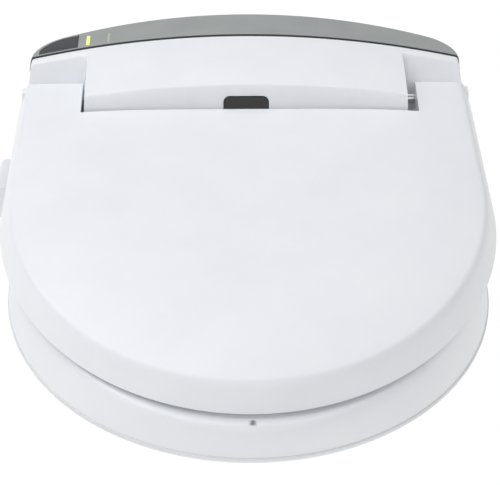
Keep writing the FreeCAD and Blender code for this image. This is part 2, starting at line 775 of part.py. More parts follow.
def roof_edge(x, inset):
    """The rear edge of the housing's top at x, moved inwards."""
    rise = s.strip_low_rear + 10 - s.parting_z
    half, rear = s.housing_half - s.housing_draft * rise, s.rear_reach - s.rear_draft * rise
    radius, centre_y, corner_y = rear_bend(half, rear, s.rear_bow, s.rear_corner)
    past = abs(x) - (half - s.rear_corner)
    if past <= 0:
        return centre_y + math.sqrt((radius - inset) ** 2 - x**2)
    return corner_y + math.sqrt(max((s.rear_corner - inset) ** 2 - past**2, 4))


def strip_inset():
    """The smoked window's outline through the strip: it tapers round the housing's corner."""
    x0, x1 = 16 - s.housing_half, 48 - s.housing_half
    points = [(x0, strip_front_at(x0) + 3.5), (x1, strip_front_at(x1) + 3.5)]
    for n in range(9):
        x = x1 + (x0 - x1) * n / 8
        points.append((x, roof_edge(x, 3)))
    return prism(points, s.strip_low_end, 160)


def led_form(x, wide):
    y = strip_front_at(x)
    return prism(
        [(x - wide, y + 5.5), (x + wide, y + 5.5), (x + wide, y + 24.5), (x - wide, y + 24.5)],
        100, 160,
    )


def strip_inlay(region):
    """A lens that fills an opening of the strip, flush with its face."""
    proud = cover_form(-s.strip_proud + 0.1, s.parting_z)
    core = cover_form(s.strip_thick - s.strip_proud, s.parting_z - 1)
    return one_solid(proud.cut(core).common(strip_region(0)).common(region))


def make_base():
    y0, y1 = hump_y, s.rear_reach + 60
    w, g = s.base_wall, s.dock_gap
    form = housing_walls(0, s.pad_high, s.parting_z, y0)
    inner = housing_walls(w, s.pad_high + w, s.parting_z + 1, y0 + w)
    dock_y = -s.bracket_long / 2 - 4
    roof = block(-s.dock_half - w, dock_y - w, -1, s.dock_half + w, y1, s.dock_high + w)
    recess = cylinder(20 + w, (s.inlet_x, s.inlet_y, -1), (s.inlet_x, s.inlet_y, s.inlet_recess + w))
    bosses = screw_bosses(0, s.parting_z + 1, 5.5)
    keep = [roof, recess, *bosses, drain_block(), hook_guide()]
    form = form.cut(inner.cut(keep[0].fuse(keep[1:])))
    ridge = s.dock_half - 11
    holes = [
        block(-s.dock_half, dock_y, -1, s.dock_half, y1, s.dock_high),
        cylinder(20, (s.inlet_x, s.inlet_y, -1), (s.inlet_x, s.inlet_y, s.inlet_recess)),
        cylinder(INLET_NECK_R, (s.inlet_x, s.inlet_y, 0), (s.inlet_x, s.inlet_y, 60)),
        block(-NOZZLE_DOOR_HALF, y0 - 5, NOZZLE_DOOR_LOW, NOZZLE_DOOR_HALF, y0 + 8, 60),
        block(s.duct_x - s.free_gap, y0 - 5, DUCT_LOW - s.free_gap,
              s.duct_x + s.duct_wide + s.free_gap, y0 + 8, DUCT_LOW + s.duct_high + s.free_gap),
        guard_opening(),
        cylinder(GLAND_R, (s.cord_x, 20, s.cord_z), (s.cord_x, 80, s.cord_z)),
        *screw_bosses(-1, 60, SCREW_R + 0.4),
        *screw_bosses(-1, HEAD_TOP, 4.2),
        *drain_holes(),
        *hook_holes(),
    ]
    form = form.cut(holes[0].fuse(holes[1:]))
    lips = []
    for side in (-1, 1):
        x0, x1 = sorted((side * (ridge + g), side * (s.dock_half + 1)))
        lips.append(block(x0, -s.bracket_long / 2, s.pad_high, x1, s.bracket_long / 2, 3.4))
    return one_solid(form.fuse(lips))


def drain_block():
    x = -s.housing_half
    return block(x - 2, DRAIN_Y - 3, DRAIN_Z - 5, x + 9, DRAIN_Y + DRAIN_LONG + 3, DRAIN_Z + 22)


def drain_holes():
    x, f = -s.housing_half, s.free_gap
    y0, y1 = DRAIN_Y - f, DRAIN_Y + DRAIN_LONG + f
    return [
        block(x - 5, y0, DRAIN_Z - 2, x + 4, y1, DRAIN_Z + 18 + f),
        cylinder(4.4, (x - 1, DRAIN_Y + DRAIN_LONG / 2, DRAIN_Z + 10),
                 (x + 20, DRAIN_Y + DRAIN_LONG / 2, DRAIN_Z + 10)),
    ]


def hook_guide():
    """The channel that carries the release button's bar, on the base's right."""
    return block(s.dock_half, HOOK_Y - 10, 0, s.housing_half + 5, HOOK_Y + 10, 17)


def hook_holes():
    f = s.free_gap
    return [
        block(s.dock_half - 20, HOOK_Y - 4 - f, HOOK_Z - f,
              s.housing_half + 9, HOOK_Y + 4 + f, HOOK_Z + RELEASE_HIGH + f),
        block(s.housing_half - 6 - RELEASE_TRAVEL - f, HOOK_Y - 7 - f, HOOK_Z - 2 - f,
              s.housing_half + 9, HOOK_Y + 7 + f, HOOK_Z + 7 + f),
        block(s.dock_half - 20, HOOK_Y - 4 - f, s.dock_high - 1,
              s.dock_half - 5, HOOK_Y + 4 + f, HOOK_Z + 1),
    ]


# places that several pieces share
SCREW_R = 1.75
HEAD_TOP = 10
SCREWS = [(x * side, y) for side in (-1, 1) for x, y in ((172, -76), (118, -82), (140, 25))]
BUSH_R = 7
GUARD_HALF = 21
GUARD_LOW, GUARD_TOP = 35.5, 47
NOZZLE_DOOR_HALF = GUARD_HALF + s.free_gap
NOZZLE_DOOR_LOW = 14
DUCT_LOW = 14
FILTER_Y = 7 - s.filter_wide  # a wider filter reaches forwards, clear of the rounded rear corner
FILTER_Z, FILTER_FACE = 46, 7.5
INLET_NECK_R = 8
GLAND_R = 8
DRAIN_Y, DRAIN_Z, DRAIN_LONG = -32, 12, 22
HOOK_Y, HOOK_Z = -20, 10
RELEASE_TRAVEL, RELEASE_HIGH = 4, 3.6
LEDS = [(56 - s.housing_half, 1.5), (73 - s.housing_half, 1.3)]

node(solid("HousingCover", make_cover()), "housing_cover")
node(solid("TrimStrip", make_strip()), "trim_strip")
node(solid("DisplayWindow", strip_inlay(strip_inset())), "display_window")
node(solid("PowerLedLens", strip_inlay(led_form(*LEDS[0]))), "power_led_lens")
node(solid("EcoLedLens", strip_inlay(led_form(*LEDS[1]))), "eco_led_lens")
window = window_form(0, 0.3, 2.3)
node(solid("SensorWindow", window), "sensor_window")
node(solid("BasePlate", make_base()), "base_plate")

# ---------------------------------------------------------------- bracket and its bolt guides

bracket = body("Bracket")
k = sketch(bracket, "BracketPlan", "XY_Plane")
draw_rect(k, "2 * (dock_half - 11)", "bracket_long")
pad(bracket, k, "bracket_thick", "BracketPlate")
k = sketch(bracket, "FlangePlan", "XY_Plane")
draw_rect(k, "2 * (dock_half - dock_gap)", "bracket_long")
flange = pad(bracket, k, "bracket_thick", "BracketFlange")
k.AttachmentOffset = Placement(Vector(0, 0, 4), Rotation())
bind(flange, "Length", "bracket_thick - 4")
for n, side in enumerate((-1, 1)):
    k = sketch(bracket, f"SlotPlan{n}", "XY_Plane")
    draw_rect(
        k, "guide_wide + 2 * guide_travel + 2 * free_gap", "guide_long - 6 + 2 * free_gap",
        "bolt_span / 2",
    )
    slot = pocket(bracket, k, f"Slot{n}")
    if side < 0:
        k.AttachmentOffset = Placement(Vector(), Rotation(Vector(0, 0, 1), 180))
    k = sketch(bracket, f"LedgePlan{n}", "XY_Plane")
    draw_rect(
        k, "guide_wide + 2 * guide_travel + 2 * free_gap", "guide_long + 2 * free_gap",
        "bolt_span / 2",
    )
    turn = Rotation(Vector(0, 0, 1), 180 if side < 0 else 0)
    k.AttachmentOffset = Placement(Vector(0, 0, 3), turn)
    ledge = bracket.newObject("PartDesign::Pocket", f"Ledge{n}")
    ledge.Profile = k
    ledge.Reversed = True
    bind(ledge, "Length", "bracket_thick")
k = sketch(bracket, "GroovePlan", "XY_Plane")
GROOVE_LONG = s.bracket_long / 2 + 1 + HOOK_Y + 5
draw_rect(k, "13", f"bracket_long / 2 + 1 + ({HOOK_Y} + 5)", "dock_half - 11.5")
k.AttachmentOffset = Placement(
    Vector(0, -s.bracket_long / 2 - 1 + GROOVE_LONG / 2, 3.4), Rotation()
)
groove = bracket.newObject("PartDesign::Pocket", "HookGroove")
groove.Profile = k
groove.Reversed = True
bind(groove, "Length", "bracket_thick")
node(bracket, "mounting_bracket")

for side, word in ((-1, "left"), (1, "right")):
    guide = body(f"BoltGuide_{word}")
    k = sketch(guide, f"GuidePlan_{word}", "XY_Plane")
    draw_rect(k, "guide_wide", "guide_long - 6")
    pad(guide, k, "bracket_thick", f"GuideBlock_{word}")
    k = sketch(guide, f"GuideFlangePlan_{word}", "XY_Plane")
    draw_rect(k, "guide_wide", "guide_long")
    k.AttachmentOffset = Placement(Vector(0, 0, 3), Rotation())
    flange = pad(guide, k, "bracket_thick", f"GuideFlange_{word}")
    bind(flange, "Length", "bracket_thick - 3")
    k = sketch(guide, f"GuideHolePlan_{word}", "XY_Plane")
    draw_circle(k, "bolt_hole_r")
    pocket(guide, k, f"GuideHole_{word}")
    bind(guide, ".Placement.Base.x", f"{side} * bolt_span / 2")
    node(guide, f"bolt_guide_{word}")

# ---------------------------------------------------------------- release button, pads and screws

BAR = f"{HOOK_Y} - 4"
cap = box("ReleaseCap", ("housing_half - 6", f"{HOOK_Y} - 7", f"{HOOK_Z} - 2"), ("7.5", "14", "9"))
BAR_LONG = "housing_half - dock_half + 9"
bar = box("ReleaseBar", ("dock_half - 13", BAR, f"{HOOK_Z}"), (BAR_LONG, "8", f"{RELEASE_HIGH}"))
hook = box("ReleaseHook", ("dock_half - 13", BAR, "4.2"), ("5", "8", "7"))
node(fuse("ReleaseButton", cap, bar, hook), "release_button")

pads = [
    box(f"Pad{n}", (x, y, "0"), (wide, deep, "pad_high"))
    for n, (x, y, wide, deep) in enumerate((
        ("housing_half - 56", "-88", "26", "11"), ("30 - housing_half", "-88", "26", "11"),
        ("dock_half + 4", "24", "14", "9"), ("-dock_half - 18", "24", "14", "9"),
    ))
]
node(fuse("RubberPads", *pads), "rubber_pads")


def screws(name, places, head_z, low, high, head_r, shank_r):
    """Pan-head screws whose heads point down."""
    parts = []
    for x, y in places:
        head = cylinder(head_r, (x, y, low), (x, y, head_z))
        head = head.cut(cylinder(head_r * 0.45, (x, y, low), (x, y, low + 1.2)))
        parts.append(head.fuse(cylinder(shank_r, (x, y, head_z), (x, y, high))).removeSplitter())
    return solid(name, Part.makeCompound(parts))


node(screws("HousingScrews", SCREWS, HEAD_TOP, HEAD_TOP - 2.4, 48, 3.6, SCREW_R), "housing_screws")

# ---------------------------------------------------------------- hinge line

LINE = ("hinge_y", "hinge_z")


def on_line(name, radius, x0, length):
    return rod(name, radius, length, (x0, *LINE), "X")


for word, sign in (("lid", -1), ("seat", 1)):
    x_in = "-hump_half + 8" if sign < 0 else "hump_half - 72"
    shell = on_line(f"{word}DamperTube", "13", x_in, "64")
    foot = box(
        f"{word}DamperFoot", (f"{x_in} + 8", "hinge_y - 9", "hinge_z - 20"), ("48", "18", "14")
    )
    bore = on_line(f"{word}DamperBore", "shaft_r + run_gap", f"{x_in} - 1", "66")
    node(cut(f"{word}Damper", fuse(f"{word}DamperBody", shell, foot), bore), f"{word}_damper")

shaft_long = "lug_in + lug_thick - hump_half + 60"
node(on_line("LidShaft", "shaft_r", "-lug_in - lug_thick", shaft_long), "lid_hinge_shaft")
node(on_line("SeatShaft", "shaft_r", "hump_half - 60", shaft_long), "seat_hinge_shaft")

bushes = []
for n, x0 in enumerate(("-hump_half - 1.5", "hump_half - 5")):
    tube = on_line(f"BushTube{n}", f"{BUSH_R}", x0, "6.5")
    collar_x = "-hump_half - 1.5" if n == 0 else "hump_half + 0.2"
    collar = on_line(f"BushCollar{n}", "9", collar_x, "1.3")
    bore = on_line(f"BushBore{n}", "shaft_r + run_gap", f"{x0} - 10", "30")
    bushes.append(cut(f"Bush{n}", fuse(f"BushBody{n}", tube, collar), bore))
pair = doc.addObject("Part::Compound", "HingeBushes")
pair.Links = bushes
node(pair, "hinge_bushes")

# ---------------------------------------------------------------- nozzle unit, built level and tilted

TILT = Placement(Vector(0, s.nozzle_y, s.nozzle_z), Rotation(Vector(1, 0, 0), s.nozzle_slope))


def tilted(obj, label):
    """Turns a piece that was built along +Y to the nozzles' slope."""
    obj.Placement = TILT
    for axis, text in (("y", "nozzle_y"), ("z", "nozzle_z")):
        bind(obj, f".Placement.Base.{axis}", text)
    return node(obj, label)


PITCH = math.pi * s.gear_module
PITCH_R = s.gear_module * s.pinion_teeth / 2
TOOTH_THIN = 0.16 * s.gear_module
PRESSURE = math.radians(20)


def rack_profile(start, end):
    """The rack's outline in the YZ plane: straight-flanked teeth on a bar."""
    tip = s.rack_line + 0.6 * s.gear_module
    root = s.rack_line - 1.1 * s.gear_module
    low = s.nozzle_r - 1
    points = [(start, low), (start, root)]
    first = math.ceil((start + 1 - s.pinion_at) / PITCH)
    last = math.floor((end - 1 - s.pinion_at) / PITCH) - 1
    half = PITCH / 4 - TOOTH_THIN / 2
    for n in range(first, last + 1):
        middle = s.pinion_at + (n + 0.5) * PITCH
        wide = half + (s.rack_line - root) * math.tan(PRESSURE)
        slim = half - (tip - s.rack_line) * math.tan(PRESSURE)
        points += [(middle - wide, root), (middle - slim, tip)]
        points += [(middle + slim, tip), (middle + wide, root)]
    return points + [(end, root), (end, low)]


def pinion_profile():
    """The pinion's outline about its own centre: involute flanks, one tooth pointing down."""
    base = PITCH_R * math.cos(PRESSURE)
    tip, root = PITCH_R + 0.9 * s.gear_module, PITCH_R - 0.95 * s.gear_module
    half_pitch = PITCH / 4 / PITCH_R - TOOTH_THIN / 2 / PITCH_R

    def roll(radius):
        angle = math.acos(min(1, base / radius))
        return math.tan(angle) - angle

    half_base = half_pitch + roll(PITCH_R)
    flank = [(root, half_base)]
    for n in range(6):
        radius = base + (tip - base) * n / 5
        flank.append((radius, half_base - roll(radius)))
    points = []
    teeth = int(round(s.pinion_teeth))
    for tooth in range(teeth):
        middle = -math.pi / 2 + 2 * math.pi * tooth / teeth
        points += [polar(r, middle - a) for r, a in flank]
        points += [polar(r, middle + a) for r, a in reversed(flank)]
    return points


def polar(radius, angle):
    return radius * math.cos(angle), radius * math.sin(angle)


def make_nozzle(x):
    r, tip = s.nozzle_r, s.nozzle_tip_long
    tube = cylinder(r, (x, 1.5, 0), (x, s.nozzle_long, 0))
    nose = Part.makeCone(r - 1.5, r, 1.5, Vector(x, 0, 0), Vector(0, 1, 0))
    form = tube.fuse(nose)
    bore = cylinder(r - 2.2, (x, 6, 0), (x, s.nozzle_long + 1, 0))
    jets = [cylinder(0.7, (x + dx, 9 + dy, 0), (x + dx, 9 + dy, r + 1))
            for dx, dy in ((0, -2.2), (-1.6, 0.6), (1.6, 0.6))]
    seam = cylinder(r + 1, (x, tip, 0), (x, tip + 0.6, 0)).cut(
        cylinder(r - 0.4, (x, tip, 0), (x, tip + 0.6, 0)))
    form = form.cut(bore.fuse(jets + [seam]))
    rack = prism(rack_profile(tip + 3, s.nozzle_long - 2), x - 2, x + 2, "YZ")
    rack = rack.cut(cylinder(r - 1, (x, 0, 0), (x, s.nozzle_long, 0)))
    return one_solid(form.fuse(rack))


def make_pinion(side):
    x = side * s.nozzle_pitch / 2
    w = s.pinion_wide / 2
    y, z = s.pinion_at, s.rack_line + PITCH_R
    gear = prism([(y + a, z + b) for a, b in pinion_profile()], x - w, x + w, "YZ")
    shaft = cylinder(1.5, (x, y, z), (side * (MOTOR_X + s.motor_long - 3), y, z))
    return one_solid(gear.fuse(shaft))


CRADLE_HALF = s.nozzle_pitch / 2 + s.nozzle_r + s.free_gap + 3
MOTOR_X = CRADLE_HALF + 0.3


def make_cradle():
    r, f, half = s.nozzle_r, s.free_gap, CRADLE_HALF
    low = -r - f - 2.4
    y0, y1 = 6, s.nozzle_long - 6
    form = block(-half, y0, low, half, y1, r)
    collar_end = y0 + 9
    form = form.cut(block(-half + 2.4, collar_end, -r - f, half - 2.4, y1 - 6, r + 20))
    cheek = s.rack_line + PITCH_R + s.motor_r + 1
    for side in (-1, 1):
        x0, x1 = sorted((side * half, side * (half - 2.4)))
        form = form.fuse(block(x0, s.pinion_at - 11, low, x1, s.pinion_at + 13, cheek))
        x = side * s.nozzle_pitch / 2
        form = form.cut(cylinder(r + f, (x, 0, 0), (x, y1 + 1, 0)))
        form = form.cut(block(x - 2 - f, 0, 0, x + 2 + f, y1 + 1, r + 20))
        y, z = s.pinion_at, s.rack_line + PITCH_R
        form = form.cut(cylinder(2.2, (side * (half - 4), y, z), (side * (half + 1), y, z)))
    bridge = block(-half, s.pinion_at + 30, -r, half, s.pinion_at + 38, 14)
    bridge = bridge.cut(block(-half + 2.4, 0, -r - 1, half - 2.4, 200, 11.4))
    return one_solid(form.fuse(bridge))


tilted(solid("NozzleCradle", make_cradle()), "nozzle_cradle")
tilted(solid("WashNozzle", make_nozzle(-s.nozzle_pitch / 2)), "wash_nozzle")
tilted(solid("BidetNozzle", make_nozzle(s.nozzle_pitch / 2)), "bidet_nozzle")
for side, word in ((-1, "wash"), (1, "bidet")):
    tilted(solid(f"{word}Pinion", make_pinion(side)), f"{word}_pinion")
    x0, x1 = side * MOTOR_X, side * (MOTOR_X + s.motor_long)
    y, z = s.pinion_at, s.rack_line + PITCH_R
    can = cylinder(s.motor_r, (x0, y, z), (x1, y, z))
    ears = block(min(x0, x0 + side * 1.2), y - 12.5, z - 3.5, max(x0, x0 + side * 1.2), y + 12.5, z + 3.5)
    plug = block(min(x1, x1 - side * 8), y - 4, z + 6, max(x1, x1 - side * 8), y + 4, z + 12)
    hole = cylinder(1.5 + s.run_gap, (x0 - side, y, z), (x1 - side * 2, y, z))
    motor = can.fuse([ears, plug]).cut(hole)
    tilted(solid(f"{word}Motor", one_solid(motor)), f"{word}_nozzle_motor")

guard = block(
    -GUARD_HALF, hump_y + 0.6, GUARD_LOW, GUARD_HALF, hump_y + 2.6, GUARD_TOP - 1.6
).fuse(cylinder(1.6, (-GUARD_HALF, hump_y + 2.2, GUARD_TOP - 1.9),
                (GUARD_HALF, hump_y + 2.2, GUARD_TOP - 1.9)))
node(solid("NozzleGuard", one_solid(guard)), "nozzle_guard")

# ---------------------------------------------------------------- warm-air dryer

DRYER_LOW = DUCT_LOW
DUCT_AT = ("duct_x", "hinge_y - hump_front + 3.4", f"{DUCT_LOW}")
DUCT_LONG = "dryer_y - hinge_y + hump_front - 8"
scroll = rod("DryerScroll", "dryer_r", "dryer_high", ("dryer_x", "dryer_y", f"{DRYER_LOW}"))
duct = box("DryerDuct", DUCT_AT, ("duct_wide", DUCT_LONG, "duct_high"))
room = rod(
    "DryerRoom", "dryer_r - duct_wall", "dryer_high - 2 * duct_wall",
    ("dryer_x", "dryer_y", f"{DRYER_LOW} + duct_wall"),
)
way = box(
    "DryerWay", ("duct_x + duct_wall", "hinge_y - hump_front", f"{DUCT_LOW} + duct_wall"),
    ("duct_wide - 2 * duct_wall", "dryer_y - hinge_y + hump_front", "duct_high - 2 * duct_wall"),
)
eye = rod(
    "DryerEye", "3", "10", ("dryer_x", "dryer_y", f"{DRYER_LOW} + dryer_high - 5"),
)
inlet_eye = rod("DryerInlet", "fan_r - 7", "6", ("dryer_x", "dryer_y", f"{DRYER_LOW} - 2"))
node(cut("DryerHousing", fuse("DryerBody", scroll, duct), room, way, eye, inlet_eye),
     "dryer_housing")


def make_fan(radius, high, blades, hub_r, shaft_r, shaft_top):
    """A squirrel-cage fan about +Z, with its shaft reaching up into the motor."""
    plate = Part.makeCylinder(radius, 1.6, Vector(0, 0, high - 1.6))
    ring = Part.makeCylinder(radius, 1.6).cut(Part.makeCylinder(radius - 5, 1.6))
    vanes = []
    for n in range(blades):
        vane = Part.makeBox(5, 1, high - 1.6, Vector(radius - 5.2, -0.5, 0))
        vane.rotate(Vector(radius - 2.5, 0, 0), Vector(0, 0, 1), 28)
        vane.rotate(Vector(), Vector(0, 0, 1), 360 * n / blades)
        vanes.append(vane)
    cage = Part.makeCylinder(radius, high)
    vanes = [v.common(cage) for v in vanes]
    hub = Part.makeCone(hub_r, shaft_r + 1, 8, Vector(0, 0, high - 1.6), Vector(0, 0, -1))
    shaft = Part.makeCylinder(shaft_r, shaft_top, Vector(0, 0, high - 3))
    return one_solid(plate.fuse([ring, hub, shaft, *vanes]))


fan = solid("DryerFan", make_fan(s.fan_r, s.dryer_high - 8, 24, 8, 1.5, 16))
fan.Placement = Placement(Vector(s.dryer_x, s.dryer_y, DRYER_LOW + 4), Rotation())
place(fan, ("dryer_x", "dryer_y", f"{DRYER_LOW} + 4"))
node(fan, "dryer_fan")
can = rod("DryerCan", "13.5", "17", ("dryer_x", "dryer_y", f"{DRYER_LOW} + dryer_high"))
bore = rod("DryerBore", "1.5 + run_gap", "12", ("dryer_x", "dryer_y", f"{DRYER_LOW} + dryer_high - 1"))
ear = box("DryerEar", ("dryer_x - 17", "dryer_y - 4", f"{DRYER_LOW} + dryer_high"), ("34", "8", "1.5"))
node(cut("DryerMotor", fuse("DryerMotorBody", can, ear), bore), "dryer_motor")

fins = []
frame_at = ("duct_x + duct_wall", "hinge_y + 4", f"{DUCT_LOW} + duct_wall")
frame_size = ("duct_wide - 2 * duct_wall", "9", "duct_high - 2 * duct_wall")
frame = box("HeaterFrame", frame_at, frame_size)
for n in range(5):
    fins.append(box(
        f"HeaterSlot{n}",
        (f"duct_x + duct_wall + 1.6 + {n} * (duct_wide - 2 * duct_wall - 2) / 5",
         "hinge_y + 3", f"{DUCT_LOW} + duct_wall + 1.6"),
        ("(duct_wide - 2 * duct_wall - 2) / 5 - 1.2", "11", "duct_high - 2 * duct_wall - 3.2"),
    ))
node(cut("DryerHeater", frame, *fins), "dryer_heater")

FLAP_PIN_Z = f"{DUCT_LOW} + duct_high - 1.6"
flap = box(
    "FlapPlate", ("duct_x + free_gap", "hinge_y - hump_front + 0.6", f"{DUCT_LOW} + free_gap"),
    ("duct_wide - 2 * free_gap", "1.8", "duct_high - 2"),
)
pin = rod(
    "FlapPin", "1.4", "duct_wide - 2 * free_gap",
    ("duct_x + free_gap", "hinge_y - hump_front + 2", FLAP_PIN_Z), "X",
)
node(fuse("DryerFlap", flap, pin), "dryer_flap")

# ---------------------------------------------------------------- deodoriser

f = s.free_gap
sleeve_x, sleeve_end = 98, s.housing_half - FILTER_FACE - 6
sleeve = block(
    sleeve_x, FILTER_Y - f - 2, FILTER_Z - f - 2,
    sleeve_end, FILTER_Y + s.filter_wide + f + 2, FILTER_Z + s.filter_high + f + 2,
)
hollow_x = s.housing_half - FILTER_FACE - s.filter_long - 2 * f
fan_y, fan_z = FILTER_Y + s.filter_wide / 2, FILTER_Z + s.filter_high / 2
hollow = block(
    hollow_x, FILTER_Y - f, FILTER_Z - f,
    sleeve_end + 5, FILTER_Y + s.filter_wide + f, FILTER_Z + s.filter_high + f,
)
chamber = cylinder(12.6, (sleeve_x + 2, fan_y, fan_z), (hollow_x + 1, fan_y, fan_z))
spout = block(sleeve_x + 3, FILTER_Y - 12, fan_z - 6, sleeve_x + 15, FILTER_Y + 9, fan_z + 6)
spout_way = block(sleeve_x + 5, FILTER_Y - 13, fan_z - 4, sleeve_x + 13, FILTER_Y + 9, fan_z + 4)
bore = cylinder(1.2 + s.run_gap, (sleeve_x - 1, fan_y, fan_z), (sleeve_x + 3, fan_y, fan_z))
case = sleeve.fuse(spout).cut(hollow.fuse([chamber, spout_way, bore]))
node(solid("DeodoriserHousing", one_solid(case)), "deodoriser_housing")
small_fan = make_fan(11.5, 14, 14, 4, 1.2, 7)
small_fan.rotate(Vector(), Vector(0, 1, 0), -90)
fan = solid("DeodoriserFan", small_fan)
fan.Placement = Placement(Vector(sleeve_x + 19, fan_y, fan_z), fan.Placement.Rotation)
node(fan, "deodoriser_fan")

x1 = s.housing_half - FILTER_FACE
block_out = block(x1 - s.filter_long, FILTER_Y, FILTER_Z, x1, FILTER_Y + s.filter_wide,
                  FILTER_Z + s.filter_high)
cells = []
for i in range(6):
    for j in range(4):
        y = FILTER_Y + 3 + i * (s.filter_wide - 6) / 6
        z = FILTER_Z + 3 + j * (s.filter_high - 6) / 4
        wide, high = (s.filter_wide - 6) / 6 - 1.2, (s.filter_high - 6) / 4 - 1.2
        cells.append(block(x1 - s.filter_long - 1, y, z, x1 - 8, y + wide, z + high))
grip = block(x1 - 4.5, FILTER_Y + 8, FILTER_Z + 4, x1 + 1, FILTER_Y + s.filter_wide - 8, FILTER_Z + 9)
node(solid("CarbonFilter", one_solid(block_out.cut(cells[0].fuse(cells[1:] + [grip])))),
     "carbon_filter")

# ---------------------------------------------------------------- electronics

BOARD_Z = 80
board = box("MainBoardPlate", ("44", "-20", f"{BOARD_Z}"), ("housing_half - 96", "46", "1.6"))
parts = [board]
for n, (x, y, wide, deep, high) in enumerate((
    (50, -14, 18, 14, 13), (74, -14, 18, 14, 13), (98, -14, 12, 12, 9), (52, 8, 9, 18, 8),
    (70, 6, 12, 12, 3), (90, 8, 24, 7, 10), (90, 17, 24, 7, 10),
)):
    parts.append(box(f"BoardPart{n}", (f"{x}", f"{y}", f"{BOARD_Z}"), (f"{wide}", f"{deep}", f"{high}")))
for n, (x, y) in enumerate(((70, 21), (80, 21), (122, 10))):
    parts.append(rod(f"BoardCan{n}", "3.8", "13", (f"{x}", f"{y}", f"{BOARD_Z}")))
node(fuse("MainBoard", *parts), "main_circuit_board")

supply = box("SupplyCase", ("120", "-9", "5"), ("housing_half - 140", "26", "34"))
node(fillet("PowerSupply", supply, 3, runs_along("z")), "power_supply")
bars = [
    box("DisplayBoardPlate", ("-housing_half + 30", "-4", "110"), ("50", "22", "1.6")),
    box("DisplayBoardChip", ("-housing_half + 50", "0", "110"), ("12", "10", "4")),
]
node(fuse("DisplayBoard", *bars), "display_board")

# ---------------------------------------------------------------- water

tank = box("TankCase", ("-112", "-20", "13"), ("64", "54", "62"))
tank = fillet("TankRounded", tank, 8, runs_along("z"))
ports = [
    rod("TankPortIn", "6", "8", ("-118", "0", "52"), "X"),
    rod("TankPortOut", "6", "8", ("-92", "-26", "36"), "Y"),
    box("TankLid", ("-106", "-14", "74"), ("52", "42", "5")),
]
tank_bores = [
    rod("TankBoreIn", "hose_r", "9", ("-119", "0", "52"), "X"),
    rod("TankBoreOut", "hose_r", "9", ("-92", "-27", "36"), "Y"),
]
node(cut("WaterHeater", fuse("TankBody", tank, *ports), *tank_bores), "water_heater")

valve = box("ValveBlock", ("inlet_x - 16", "inlet_y - 14", "40"), ("32", "30", "24"))
coil = rod("ValveCoil", "11", "20", ("inlet_x", "inlet_y", "63"))
spout = rod("ValveSpout", "6", "5", ("inlet_x + 15", "0", "52"), "X")
valve_bores = [
    rod("ValveBoreOut", "hose_r", "8", ("inlet_x + 13", "0", "52"), "X"),
    rod("ValveBoreIn", "inlet_bore_r", "12", ("inlet_x", "inlet_y", "39")),
]
node(cut("SolenoidValve", fuse("ValveBody", valve, coil, spout), *valve_bores), "solenoid_valve")

inlet = [
    rod("InletNipple", "inlet_r", "inlet_recess - 6", ("inlet_x", "inlet_y", "6")),
    rod("InletNeck", f"{INLET_NECK_R}", "40 - inlet_recess + 2", ("inlet_x", "inlet_y", "inlet_recess - 2")),
    rod("InletFlange", "14", "3", ("inlet_x", "inlet_y", "inlet_recess + base_wall")),
]
inlet_bore = rod("InletBore", "inlet_bore_r", "60", ("inlet_x", "inlet_y", "0"))
rings = []
for n in range(6):
    z = f"8 + {n} * 1.8"
    ring = rod(f"ThreadRing{n}", "inlet_r + 1", "0.7", ("inlet_x", "inlet_y", z))
    core = rod(f"ThreadCore{n}", "inlet_r - 0.7", "0.9", ("inlet_x", "inlet_y", z + " - 0.1"))
    rings.append(cut(f"Thread{n}", ring, core))
node(cut("WaterInlet", fuse("InletBody", *inlet), inlet_bore, *rings), "water_inlet")
gauze = rod("StrainerCup", "inlet_bore_r", "22", ("inlet_x", "inlet_y", "8"))
gauze_in = rod("StrainerIn", "inlet_bore_r - 1", "22", ("inlet_x", "inlet_y", "7"))
node(cut("Strainer", gauze, gauze_in), "inlet_strainer")

pump = rod("PumpCan", "13", "26", ("-112", "-60", "36"), "X")
head = rod("PumpHead", "15", "14", ("-88", "-60", "36"), "X")
pump_ports = [
    rod("PumpPortIn", "6", "10", ("-92", "-52", "36"), "Y"),
    rod("PumpPortOut", "6", "6", ("-75", "-60", "36"), "X"),
    box("PumpFoot", ("-108", "-70", "12.4"), ("30", "20", "16")),
]
pump_bores = [
    rod("PumpBoreIn", "hose_r", "6", ("-92", "-47", "36"), "Y"),
    rod("PumpBoreOut", "hose_r", "6", ("-74", "-60", "36"), "X"),
]
node(cut("BoosterPump", fuse("PumpBody", pump, head, *pump_ports), *pump_bores), "booster_pump")


def hose(name, start, length, along):
    tube = rod(name + "Tube", "hose_r", length, start, along)
    at = {"X": (start[0] + " - 1", start[1], start[2]), "Y": (start[0], start[1] + " - 1", start[2])}
    hole = rod(name + "Hole", "hose_bore_r", f"{length} + 2", at[along], along)
    return cut(name, tube, hole)


hoses = doc.addObject("Part::Compound", "Hoses")
hoses.Links = [
    hose("HoseValve", ("inlet_x + 13", "0", "52"), "-inlet_x - 13 - 113", "X"),
    hose("HoseTank", ("-92", "-47", "36"), "29", "Y"),
    hose("HosePump", ("-73", "-60", "36"), f"73 - {CRADLE_HALF}", "X"),
]
node(hoses, "water_hoses")

dx, f = -s.housing_half, s.free_gap
dy = DRAIN_Y + DRAIN_LONG / 2
lid_plate = block(dx + 0.8, DRAIN_Y, DRAIN_Z, dx + 3, DRAIN_Y + DRAIN_LONG, DRAIN_Z + 18)
lid_plate = lid_plate.fuse([
    cylinder(1.5, (dx + 2.3, DRAIN_Y, DRAIN_Z), (dx + 2.3, DRAIN_Y + DRAIN_LONG, DRAIN_Z)),
    cylinder(3.4, (dx + 2, dy, DRAIN_Z + 10), (dx + 5.5, dy, DRAIN_Z + 10)),
])
node(solid("DrainCap", one_solid(lid_plate)), "drain_cap")

